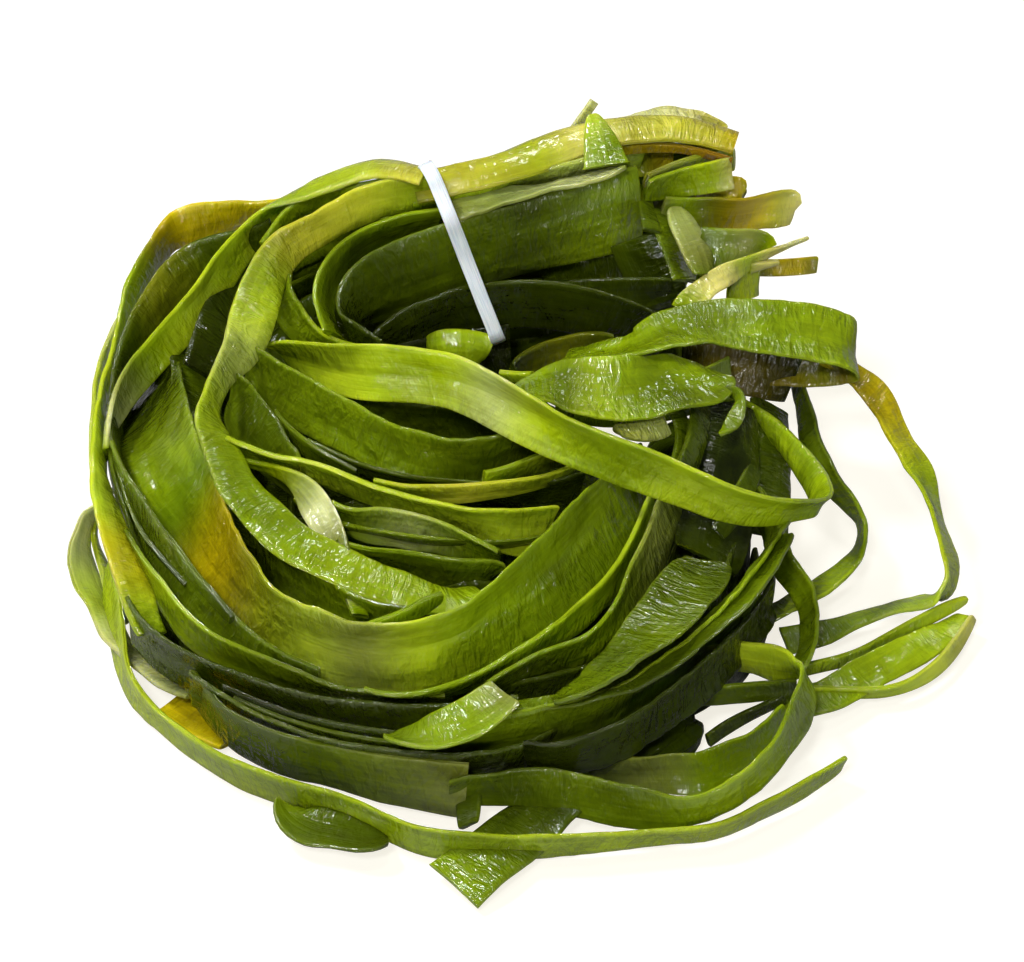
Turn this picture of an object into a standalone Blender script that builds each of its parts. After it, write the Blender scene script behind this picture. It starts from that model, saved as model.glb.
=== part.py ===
"""Tied bundle of wet kelp strips: a coiled skein of flat strips with one narrow band round its back limb.

The bundle is one solid out to its uneven outline: a lumpy core with the main strips laid over it.
+X is the long way, +Y is the tied back limb, +Z is up, and the part lies on the floor at z = 0.
Lengths in this script are millimetres and angles are degrees; meshes are written in metres.
"""
import bmesh
import bpy
from math import acos, ceil, cos, radians, sin
from mathutils import Vector

MM = 0.001
MIDDLE = Vector((-0.6, -1.5, 0))   # middle of the outline below, which becomes the origin

# Driving dimensions.
STRIP_THICK = 2.2          # a wet strip, with the film of the strips under it
STATION_STEP = 10.0        # longest piece of a strip between two sections
TIE_WIDTH = 2.8
TIE_THICK = 0.7
TIE_GAP = 0.3              # clear space kept all round the tie
FLOOR_STEP = 0.4           # each core lump's underside is this much above the one before
WELD = 0.002               # corners closer than this are one corner
CORE_SEGMENTS = 16
CORE_RINGS = 6

# Core lumps: centre and radii.
CORE = {
    "middle": ((-20, -8, 0), (54, 46, 25)),
    "left_limb": ((-61, 12, 10), (16, 42, 20)),
    "back_limb": ((-4, 53, 29), (52, 11, 28)),
    "left_turn": ((-48, 40, 22), (20, 18, 22)),
    "right_limb": ((33, 12, 6), (18, 38, 15)),
    "front": ((8, -40, 4), (46, 19, 13)),
}

# Strips: width, then stations along the middle line as x, y, z and lean.
# A lean of 0 stands the strip on its edge, 90 lays it flat; a fifth number is a local width.
# A strip that turns over has a third entry: the direction its edge points at, in place of up.
STRIPS = {
    # Low turns and the loose ends at the front.
    "outer_strap": (9, [(-77, -7, 14, -10), (-76, -15, 10, -20), (-74, -24, 7, -15), (-71, -34, 6, 0),
                        (-64, -42, 5, 10), (-53, -52, 5, 10), (-41, -58, 5, 10), (-30, -62, 5, 10),
                        (-20, -68, 5, 10), (-10, -70, 5, 10), (5, -70, 5, 15, 8), (22, -68, 5, 20, 7),
                        (32, -67, 5, 20, 7), (41, -62, 5, 15, 7), (50, -56, 5, 10, 6), (57, -50, 5, 15, 5)]),
    "front_cut": (14, [(-66, -34, 20, 10, 12), (-58, -43, 15, 5), (-52, -49, 12, 10), (-43, -54, 11, 10),
                       (-34, -56, 10, 10), (-24, -59, 10, 5), (-10, -61, 9, 0)]),
    "bright_flap": (8, [(-26, -60, 22, -130, 4), (-21, -62, 23, -110), (-15, -62, 24, -95),
                        (-10, -60, 25, -90), (-5, -56, 26, -85), (-2, -54, 27, -105)]),
    "nest_one": (11, [(-76, -9, 27, -15), (-69, -28, 25, -5), (-60, -38, 23, 10), (-45, -44, 22, 15),
                      (-29, -49, 20, 30), (-12, -50, 20, 30)]),
    "nest_two": (14, [(-71, -29, 20, 0, 12), (-64, -39, 20, 10), (-51, -45, 18, 15), (-36, -51, 17, 10),
                      (-18, -54, 17, 5), (0, -51, 17, 10)]),
    "nest_three": (12, [(-60, -42, 16, 10), (-48, -49, 14, 20), (-32, -56, 13, 20), (-13, -59, 13, 20),
                        (2, -60, 13, 20)]),
    "leaf_outer": (19, [(-20, -57, 14, 20), (-3, -56, 16, 10), (6, -54, 17, 10), (15, -50, 18, 15),
                        (23, -43, 19, 15), (31, -36, 20, 15), (38, -28, 21, 10), (43, -19, 22, 10, 17),
                        (47, -11, 23, 15, 16)]),
    "leaf_inner": (13, [(7, -55, 26, -130, 9), (12, -52, 27, -130), (17, -48, 28, -125), (22, -41, 28, -110),
                        (27, -34, 28, -100), (32, -25, 27, -100), (37, -19, 26, -110)]),
    "bottom_leaf": (9, [(-43, -58, 4, -145, 5), (-39, -64, 4, -100), (-32, -66, 4, -95), (-26, -68, 4, -110),
                        (-22, -68, 3, -130, 5)]),
    "bottom_end": (10, [(9, -55, 5, 105), (2, -61, 4, 100), (-3, -68, 4, 90), (-8, -73, 4, 90),
                        (-13, -78, 3, 95)]),
    # The wide front turns.
    "wide_band": (18, [(-75, 25, 35, -40, 15), (-72, 16, 34, -45), (-68, 5, 33, -50), (-65, -4, 32, -45),
                       (-60, -12, 31, -30), (-55, -22, 30, -20), (-50, -30, 29, -10), (-44, -38, 28, 0),
                       (-36, -43, 27, 0), (-28, -46, 27, 5), (-19, -46, 27, 0), (-11, -43, 27, -5),
                       (-3, -36, 27, -15), (5, -28, 28, -25), (11, -19, 28, -25), (17, -9, 28, -25, 15),
                       (23, 2, 28, -15, 13)]),
    "second_arc": (11, [(-9, -50, 21, 25), (2, -43, 22, 20), (10, -40, 22, 15), (16, -34, 23, 0),
                        (19, -27, 24, -10), (23, -18, 25, -15), (26, -8, 26, -20, 9), (31, 7, 26, -20, 9)]),
    "bright_mid": (10, [(-55, -1, 37, 30), (-45, -5, 35, 30), (-38, -6, 34, 25), (-25, -11, 32, 25),
                        (-12, -14, 30, 20), (-5, -16, 29, 0), (1, -16, 28, -25), (6, -12, 27, -10)]),
    "cross_dark": (12, [(-53, 21, 38, 0), (-46, 14, 37, -10), (-34, 6, 35, -10), (-20, -2, 34, 0),
                        (-6, -2, 34, 10), (10, 10, 33, 5)]),
    "cross_top": (11, [(-48, 25, 37, 35, 8), (-43, 22, 38, 15, 9), (-35, 16, 40, -5), (-27, 12, 42, -20),
                       (-20, 9, 44, -15), (-13, 5, 46, -15), (-6, 0, 46, -15), (1, -6, 46, -10),
                       (9, -11, 45, 0), (18, -14, 43, 0), (27, -17, 41, 0, 10), (36, -19, 38, 10, 10),
                       (44, -18, 35, 20, 9), (50, -14, 32, 25, 8), (54, -9, 29, 20, 6), (54, -5, 27, 10, 7),
                       (53, 1, 26, 5, 8), (50, 8, 25, -5, 7), (46, 15, 24, -10, 7), (42, 23, 23, -20, 7),
                       (37, 29, 22, -20, 7)]),
    # Left limb and the turns that rise to the tie.
    "folded_yellow": (9, [(-18, 48, 56, -15), (-30, 46, 55, 0), (-41, 39, 53, 5, 8), (-45, 36, 52, 15),
                          (-48, 31, 50, 35), (-50, 24, 47, 55), (-52, 17, 44, 45), (-55, 11, 43, 30),
                          (-57, 4, 42, 30, 8), (-57, -1, 41, 45, 8), (-54, -8, 40, 60, 8), (-51, -15, 38, 70),
                          (-47, -19, 36, 85), (-42, -24, 34, 90), (-35, -27, 32, 90), (-28, -30, 30, 90),
                          (-21, -31, 28, 90), (-14, -32, 26, 80), (-6, -28, 24, 75)]),
    "left_long": (9, [(-19, 48, 60, 115), (-29, 53, 59, 105), (-39, 51, 56, 105, 8), (-43, 51, 54, 115, 8),
                      (-47, 52, 51, 140, 8), (-52, 47, 48, 175, 8), (-57, 40, 45, 185), (-66, 27, 40, 185),
                      (-74, 16, 34, 180, 8), (-77, 10, 31, 180, 7), (-78, 3, 28, 185, 6)]),
    "top_loop": (9, [(-45, 59, 46, -25), (-55, 55, 46, -15), (-60, 53, 46, 5, 10), (-65, 53, 45, 5, 10),
                     (-68, 53, 44, -10), (-71, 52, 43, -15), (-73, 49, 41, 5), (-75, 44, 39, 15),
                     (-75, 39, 37, 10), (-78, 32, 35, 5), (-80, 25, 33, 5), (-80, 16, 31, 15),
                     (-79, 7, 29, 20), (-78, -1, 27, 25), (-76, -7, 25, 30), (-74, -14, 23, 40),
                     (-71, -21, 21, 40), (-67, -32, 17, 35)]),
    "left_edge": (7, [(-76, 40, 36, -30), (-79, 36, 33, -15), (-81, 30, 31, -10), (-82, 20, 28, 0),
                      (-82, 9, 25, 10), (-81, 1, 23, 20), (-79, -5, 21, 25)]),
    "bulge": (9, [(-77, 6, 19, -45, 6), (-81, 5, 16, -35, 7), (-83, 4, 14, -10, 8), (-84, 0, 12, 5),
                  (-84, -4, 10, 30), (-82, -9, 8, 45), (-79, -14, 6, 50, 8), (-76, -21, 5, 50, 7),
                  (-71, -25, 4, 55, 7), (-66, -30, 4, 60, 7), (-61, -34, 4, 55, 6)]),
    "turn_one": (13, [(-15, 49, 49, -30), (-22, 47, 49, -30), (-28, 45, 48, -25), (-33, 41, 47, -15),
                      (-36, 35, 46, 0), (-38, 31, 44, 10), (-37, 27, 42, 25), (-34, 22, 40, 35)]),
    # Tied back limb and its cut ends.
    "back_top": (12, [(-23, 51, 55, -95), (-8, 54, 58, -95), (0, 57, 58, -90), (8, 62, 58, -90),
                      (16, 65, 59, -95), (30, 67, 58, -100), (41, 65, 56, -105)]),
    "back_pale": (7, [(15, 71, 57, -105), (23, 74, 58, -100), (31, 75, 58, -95), (38, 74, 57, -100)]),
    "flap": (9, [(15, 60, 52, -90), (14, 65, 56, -90, 6), (13, 68, 59, -90, 4), (12, 70, 62, -90, 1.5)]),
    "inner_band": (19, [(24, 59, 46, 10), (17, 55, 46, 5), (8, 51, 46, 0), (0, 48, 46, -10),
                        (-15, 42, 45, -10), (-26, 37, 43, -5), (-32, 33, 42, 0, 17), (-34, 29, 40, 5, 16),
                        (-32, 25, 38, 10, 15), (-26, 22, 36, 15, 14)]),
    "inner_under": (13, [(18, 57, 44, -30), (21, 54, 38, -35), (23, 51, 34, -25), (26, 48, 29, -10),
                         (29, 45, 24, -5)]),
    "edge_one": (12, [(-23, 49, 49, 20, 9), (-4, 53, 51, 30), (13, 57, 53, 25), (27, 64, 52, 25)]),
    "bunch_green": (8, [(12, 56, 49, 25), (22, 57, 50, 25), (31, 61, 50, 10), (41, 66, 49, 5)]),
    "bunch_olive": (9, [(14, 66, 50, 20), (23, 67, 51, 0), (31, 69, 51, 10), (42, 70, 50, 20)]),
    "scroll": (7, [(26, 58, 44, -25), (35, 57, 44, -40), (41, 60, 43, -30), (46, 62, 42, -15),
                   (50, 64, 41, -20), (53, 63, 40, 0)]),
    "crumpled": (10, [(28, 57, 40, 10), (38, 54, 39, -5), (43, 55, 37, -25), (48, 56, 34, -40)]),
    "frayed": (5, [(25, 38, 34, -25), (34, 42, 37, -60), (39, 45, 38, -50), (44, 50, 38, -15, 3),
                   (50, 54, 38, 10, 2), (55, 58, 38, 30, 1.5)]),
    "brown_tail": (3, [(38, 56, 32, -20), (52, 59, 30, -30), (58, 62, 29, -10)]),
    "low_back": (14, [(-25, 34, 28, 10), (-18, 38, 32, 15), (-11, 41, 34, 20), (-1, 42, 35, 10),
                      (10, 40, 35, 10), (18, 38, 34, 10), (26, 35, 32, 15)]),
    # Turns over the outer side of the tied limb.
    "rear_low": (12, [(-60, 44, 9, 0), (-42, 57, 9, 5), (-18, 62, 9, 10), (8, 62, 9, 10), (32, 57, 10, 5)]),
    "rear_one": (12, [(-77, 8, 14, 0, 10), (-76, 26, 14, 0), (-66, 44, 16, 0), (-48, 58, 18, 0),
                      (-22, 64, 19, 0), (4, 65, 20, 0), (28, 63, 21, 0), (46, 57, 22, 0, 10)]),
    "rear_two": (13, [(-72, 36, 27, -10), (-58, 53, 29, -5), (-36, 62, 31, 0), (-10, 65, 32, 0),
                      (14, 66, 34, 0), (36, 64, 36, 0), (50, 62, 37, 0, 11)]),
    "rear_three": (11, [(-62, 50, 38, -15), (-46, 58, 42, -15), (-26, 62, 45, -10), (-4, 64, 47, -10),
                        (16, 67, 48, -5), (34, 69, 48, 0), (46, 69, 47, 0, 9)]),
    # Right-hand loops and the ends that trail over the floor.
    "big_loop": (14, [(6, 24, 35, -25, 10), (16, 23, 38, -25, 12), (21, 22, 40, -20), (27, 25, 41, -10),
                      (34, 27, 41, -5), (41, 27, 41, 5), (48, 27, 40, 10), (55, 28, 38, 10),
                      (61, 28, 36, 10), (64, 29, 32, 5, 13), (62, 30, 28, 0, 13), (57, 30, 26, 0, 13),
                      (50, 31, 25, 0, 13), (43, 34, 24, 0, 13), (36, 38, 23, 0, 12)], (0, 1, 0)),
    "folded_leaf": (15, [(-4, 6, 40, -120, 9), (3, 8, 42, -110), (7, 8, 42, -95), (13, 7, 42, -80),
                         (20, 8, 41, -75), (26, 11, 40, -85), (32, 13, 39, -85), (36, 19, 37, -90, 8)]),
    "outer_yellow": (8, [(56, 31, 30, -95), (60, 30, 29, -95), (64, 27, 27, -90), (69, 24, 24, -95),
                         (71, 18, 21, -110), (75, 12, 18, -115), (78, 5, 15, -135), (79, -3, 12, -140),
                         (80, -8, 9, -155, 7), (78, -11, 7, -195, 7), (74, -11, 6, -240, 6),
                         (68, -12, 6, -245, 5), (60, -16, 5, -250, 6), (54, -19, 5, -265), (46, -21, 5, -270)]),
    "dark_right": (8, [(48, 38, 26, 5), (53, 29, 24, -5), (54, 21, 21, -20), (57, 14, 18, -20),
                       (61, 10, 14, -10), (64, 6, 11, 0), (65, 2, 9, -25), (61, -3, 7, -50),
                       (57, -6, 6, -65), (53, -10, 6, -65), (47, -14, 6, -65), (38, -20, 6, -65)]),
    "right_drop": (9, [(42, 1, 22, 0), (46, -8, 20, -15), (47, -13, 17, -10), (50, -17, 14, -10),
                       (52, -20, 12, -10), (51, -26, 11, -20), (50, -31, 9, -30), (45, -35, 8, -40)]),
    "curl_loop": (9, [(-15, -61, 9, 20), (-2, -60, 9, 0), (5, -61, 9, -15), (13, -63, 9, -15),
                      (20, -65, 9, -10), (28, -67, 10, 5, 8), (36, -65, 11, 0), (42, -60, 12, -5),
                      (47, -53, 13, -15, 8), (49, -47, 14, -20, 8), (50, -41, 15, -20, 8),
                      (49, -37, 15, -10, 8), (45, -37, 15, 5), (34, -34, 14, 0, 8), (24, -37, 13, 5, 8)]),
    "inner_crumple": (8, [(8, -54, 6, 15), (17, -54, 6, 5), (26, -55, 7, -25), (31, -55, 7, -25),
                          (36, -53, 8, -20), (41, -50, 9, -10), (47, -44, 11, 0)]),
    "dark_straight": (5, [(12, -42, 10, 25), (22, -40, 10, 15), (37, -39, 10, 0), (50, -38, 11, 10)]),
    "end_thin": (3, [(44, -32, 6, 5), (51, -28, 5, 0), (60, -25, 5, -5), (70, -18, 5, -10),
                     (79, -12, 5, -10), (84, -9, 5, 0)]),
    "end_wide": (7, [(44, -38, 6, -85), (53, -36, 5, -85), (61, -30, 5, -75), (70, -24, 5, -80),
                     (77, -18, 4, -85, 6), (83, -12, 4, -105, 4)]),
    "end_slim": (3, [(46, -34, 6, 10), (61, -33, 4, 10), (68, -32, 4, 5), (75, -27, 4, -20),
                     (80, -20, 4, -30), (84, -13, 5, -35)]),
}

# The tie's loop round the back limb, in order: x, y, z of the band's middle line.
TIE_LOOP = [(-18, 47, 62), (-16, 42, 57), (-12, 40, 46), (-9, 37, 34), (-6, 36, 24), (-4, 40, 13),
            (-4, 51, 5), (-6, 63, 8), (-9, 68, 22), (-12, 68, 36), (-15, 67, 50), (-18, 61, 60),
            (-19, 54, 63)]


def clear_scene():
    for obj in list(bpy.data.objects):
        bpy.data.objects.remove(obj, do_unlink=True)


def principled(name, colour, roughness):
    mat = bpy.data.materials.new(name)
    mat.use_nodes = True
    shader = mat.node_tree.nodes["Principled BSDF"]
    shader.inputs["Base Color"].default_value = (*colour, 1.0)
    shader.inputs["Roughness"].default_value = roughness
    shader.inputs["Metallic"].default_value = 0.0
    return mat


def add_object(name, verts, faces, mat):
    mesh = bpy.data.meshes.new(name)
    mesh.from_pydata([(Vector(v) - MIDDLE) * MM for v in verts], [], faces)
    mesh.materials.append(mat)
    obj = bpy.data.objects.new(name, mesh)
    bpy.context.collection.objects.link(obj)
    return obj


def hide(obj):
    obj.hide_render = True
    obj.display_type = "WIRE"
    return obj


def hermite(a, b, slope_a, slope_b, t):
    h_a = 2 * t ** 3 - 3 * t ** 2 + 1
    h_b = 3 * t ** 2 - 2 * t ** 3
    g_a = t ** 3 - 2 * t ** 2 + t
    g_b = t ** 3 - t ** 2
    return [h_a * p + h_b * q + g_a * u + g_b * v for p, q, u, v in zip(a, b, slope_a, slope_b)]


def smooth(rows, step, closed=False):
    """Fill a list of rows with a smooth curve, no more than step apart along the route."""
    count = len(rows)
    slopes = []
    for i in range(count):
        before = rows[(i - 1) % count] if closed or i > 0 else rows[i]
        after = rows[(i + 1) % count] if closed or i < count - 1 else rows[i]
        slopes.append([(q - p) / 2 for p, q in zip(before, after)])
    result = []
    for i in range(count if closed else count - 1):
        j = (i + 1) % count
        pieces = ceil((Vector(rows[j][:3]) - Vector(rows[i][:3])).length / step)
        for k in range(pieces):
            result.append(hermite(rows[i], rows[j], slopes[i], slopes[j], k / pieces))
    if not closed:
        result.append(list(rows[-1]))
    return result


def strip_mesh(width, stations, upright=(0, 0, 1)):
    """Sweep a flat rectangle along a strip's middle line, leaning as its stations say."""
    upright = Vector(upright)
    rows = [list(s[:4]) + [s[4] if len(s) > 4 else width] for s in stations]
    rows = smooth(rows, STATION_STEP)
    places = [Vector(r[:3]) for r in rows]
    verts = []
    for i, row in enumerate(rows):
        along = (places[min(i + 1, len(rows) - 1)] - places[max(i - 1, 0)]).normalized()
        side = along.cross(upright).normalized()
        up = side.cross(along)
        lean = radians(row[3])
        across = (up * cos(lean) + side * sin(lean)) * row[4] / 2
        outward = along.cross(across).normalized() * STRIP_THICK / 2
        for a, b in ((1, 1), (1, -1), (-1, -1), (-1, 1)):
            verts.append(places[i] + across * a + outward * b)
    last = len(rows) - 1
    faces = [(0, 1, 2, 3), (4 * last + 3, 4 * last + 2, 4 * last + 1, 4 * last)]
    for i in range(last):
        for k in range(4):
            m = (k + 1) % 4
            faces.append((4 * i + m, 4 * i + k, 4 * i + 4 + k, 4 * i + 4 + m))
    return verts, faces


def lump_mesh(centre, radii, floor):
    """An ellipsoid of a few facets, cut off flat at the height floor."""
    centre = Vector(centre)
    lowest = acos(max(-1.0, (floor - centre.z) / radii[2]))
    verts = [centre + Vector((0, 0, radii[2]))]
    for i in range(1, CORE_RINGS + 1):
        polar = lowest * i / CORE_RINGS
        for j in range(CORE_SEGMENTS):
            turn = radians(360 * j / CORE_SEGMENTS)
            offset = Vector((radii[0] * sin(polar) * cos(turn), radii[1] * sin(polar) * sin(turn),
                             radii[2] * cos(polar)))
            verts.append(centre + offset)
    faces = []
    for j in range(CORE_SEGMENTS):
        k = (j + 1) % CORE_SEGMENTS
        faces.append((0, 1 + j, 1 + k))
        for i in range(CORE_RINGS - 1):
            low = 1 + i * CORE_SEGMENTS
            high = low + CORE_SEGMENTS
            faces.append((low + k, low + j, high + j, high + k))
    faces.append(tuple(range(len(verts) - 1, len(verts) - 1 - CORE_SEGMENTS, -1)))
    return verts, faces


def tie_mesh(grow):
    """A closed flat band round the loop, grown on every side by grow."""
    path = [Vector(p) for p in smooth(TIE_LOOP, 5.0, closed=True)]
    count = len(path)
    middle = sum(path, Vector()) / count
    verts = []
    for i, place in enumerate(path):
        along = (path[(i + 1) % count] - path[i - 1]).normalized()
        outward = place - middle
        outward = (outward - along * outward.dot(along)).normalized()
        across = along.cross(outward)
        for a, b in ((1, 1), (1, -1), (-1, -1), (-1, 1)):
            verts.append(place + across * a * (TIE_WIDTH / 2 + grow) + outward * b * (TIE_THICK / 2 + grow))
    faces = []
    for i in range(count):
        j = (i + 1) % count
        for k in range(4):
            m = (k + 1) % 4
            faces.append((4 * i + k, 4 * i + m, 4 * j + m, 4 * j + k))
    return verts, faces


def face_outwards(obj):
    bm = bmesh.new()
    bm.from_mesh(obj.data)
    bmesh.ops.recalc_face_normals(bm, faces=bm.faces)
    bm.to_mesh(obj.data)
    bm.free()


def combine(obj, others, operation):
    """Join or cut obj with all the others in one exact pass, then remove them."""
    group = bpy.data.collections.new("operands")
    bpy.context.scene.collection.children.link(group)
    for other in others:
        group.objects.link(other)
    mod = obj.modifiers.new(operation.lower(), "BOOLEAN")
    mod.operation = operation
    mod.solver = "EXACT"
    mod.use_self = True
    mod.operand_type = "COLLECTION"
    mod.collection = group
    bpy.context.view_layer.update()
    graph = bpy.context.evaluated_depsgraph_get()
    mesh = bpy.data.meshes.new_from_object(obj.evaluated_get(graph), depsgraph=graph)
    obj.modifiers.remove(mod)
    obj.data = mesh
    for other in others:
        bpy.data.objects.remove(other, do_unlink=True)
    bpy.data.collections.remove(group)


def keep_outer_body(obj):
    """Fill the pockets that strips close off, and drop whatever doesn't reach the core."""
    bm = bmesh.new()
    bm.from_mesh(obj.data)
    bmesh.ops.triangulate(bm, faces=bm.faces)
    bmesh.ops.remove_doubles(bm, verts=bm.verts, dist=WELD * MM)
    bmesh.ops.dissolve_degenerate(bm, edges=bm.edges, dist=WELD * MM)
    bmesh.ops.triangulate(bm, faces=bm.faces)
    left = set(bm.verts)
    bodies = []
    while left:
        todo = [left.pop()]
        body = set(todo)
        while todo:
            for edge in todo.pop().link_edges:
                for vert in edge.verts:
                    if vert not in body:
                        body.add(vert)
                        todo.append(vert)
        left -= body
        bodies.append(body)
    bodies.sort(key=len)
    for body in bodies[:-1]:
        bmesh.ops.delete(bm, geom=list(body), context="VERTS")
    bm.to_mesh(obj.data)
    bm.free()


def solid(name, shape, mat):
    obj = add_object(name, *shape, mat)
    face_outwards(obj)
    return obj


clear_scene()
kelp = principled("wet_kelp", (0.13, 0.19, 0.012), 0.22)
band = principled("tie_band", (0.85, 0.88, 0.9), 0.6)

lumps = []
for name, (centre, radii) in CORE.items():
    lumps.append(solid("core_" + name, lump_mesh(centre, radii, FLOOR_STEP * len(lumps)), kelp))
strips = [solid(name, strip_mesh(*strip), kelp) for name, strip in STRIPS.items()]
bundle = lumps[0]
bundle.name = "kelp_bundle"
combine(bundle, lumps[1:] + strips, "UNION")

keep_outer_body(bundle)

tie_slot = hide(solid("tie_slot", tie_mesh(TIE_GAP), band))
combine(bundle, [tie_slot], "DIFFERENCE")
keep_outer_body(bundle)

tie = solid("tie", tie_mesh(0.0), band)
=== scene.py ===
from math import cos, pi, radians, sin
from random import Random

import bmesh
import bpy
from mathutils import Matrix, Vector


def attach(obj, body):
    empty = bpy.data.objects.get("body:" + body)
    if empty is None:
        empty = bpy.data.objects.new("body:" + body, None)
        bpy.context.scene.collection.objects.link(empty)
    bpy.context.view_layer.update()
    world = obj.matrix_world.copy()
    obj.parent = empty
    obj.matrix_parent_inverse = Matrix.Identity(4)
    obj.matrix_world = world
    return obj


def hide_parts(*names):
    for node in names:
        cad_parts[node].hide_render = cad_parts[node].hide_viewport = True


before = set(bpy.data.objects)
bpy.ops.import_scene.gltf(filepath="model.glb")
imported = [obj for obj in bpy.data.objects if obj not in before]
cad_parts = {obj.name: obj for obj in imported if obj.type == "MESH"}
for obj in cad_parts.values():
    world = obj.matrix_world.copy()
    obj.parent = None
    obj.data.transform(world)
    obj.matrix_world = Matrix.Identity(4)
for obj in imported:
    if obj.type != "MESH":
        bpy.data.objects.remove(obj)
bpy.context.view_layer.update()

mm = 0.001
middle = Vector((-0.6, -1.5, 0))    # the same shift to the origin as in the part's own script


def metres(place):
    return (Vector(place) - middle) * mm


def linear(red, green, blue):
    # screen values from 0 to 255, as the linear values that shaders take
    values = [v / 255 for v in (red, green, blue)]
    return tuple(v / 12.92 if v <= 0.04045 else ((v + 0.055) / 1.055) ** 2.4 for v in values)


# colours of the strips, named for how the kelp looks there; black and dark are painted shade of the gaps and
# hollows, and frost, sage and pale are painted sheen and glints
kelpColours = {
    "lime": linear(170, 190, 34),
    "spring": linear(151, 174, 18),
    "leaf": linear(128, 152, 12),
    "moss": linear(102, 122, 10),
    "deep": linear(75, 91, 6),
    "dark": linear(52, 65, 4),
    "black": linear(27, 34, 3),
    "olive": linear(120, 124, 20),
    "sage": linear(134, 142, 66),
    "amber": linear(172, 154, 6),
    "gold": linear(208, 190, 16),
    "straw": linear(194, 192, 56),
    "cream": linear(218, 214, 116),
    "frost": linear(204, 210, 150),
    "pale": linear(172, 184, 104),
    "rust": linear(196, 140, 30),
    "brown": linear(104, 90, 14),
}

# how a strip is formed: thickness in mm, hollow of its face, wave of its edges and crumple of its face
kelpForms = {
    "flat": {"thick": 1.2, "hollow": 0.03, "wave": 0.35, "ripple": 0.12, "crumple": 0.14},
    "trough": {"thick": 1.3, "hollow": 0.10, "wave": 0.40, "ripple": 0.15, "crumple": 0.16},
    "wavy": {"thick": 1.15, "hollow": 0.05, "wave": 1.10, "ripple": 0.30, "crumple": 0.28},
    "frill": {"thick": 0.9, "hollow": 0.08, "wave": 1.80, "ripple": 0.55, "crumple": 0.50},
    "crisp": {"thick": 1.15, "hollow": 0.06, "wave": 0.70, "ripple": 0.30, "crumple": 0.60},
    "stem": {"thick": 1.5, "hollow": 0.02, "wave": 0.20, "ripple": 0.08, "crumple": 0.15},
    "roll": {"thick": 1.6, "hollow": -0.18, "wave": 0.30, "ripple": 0.12, "crumple": 0.22},
}
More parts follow.
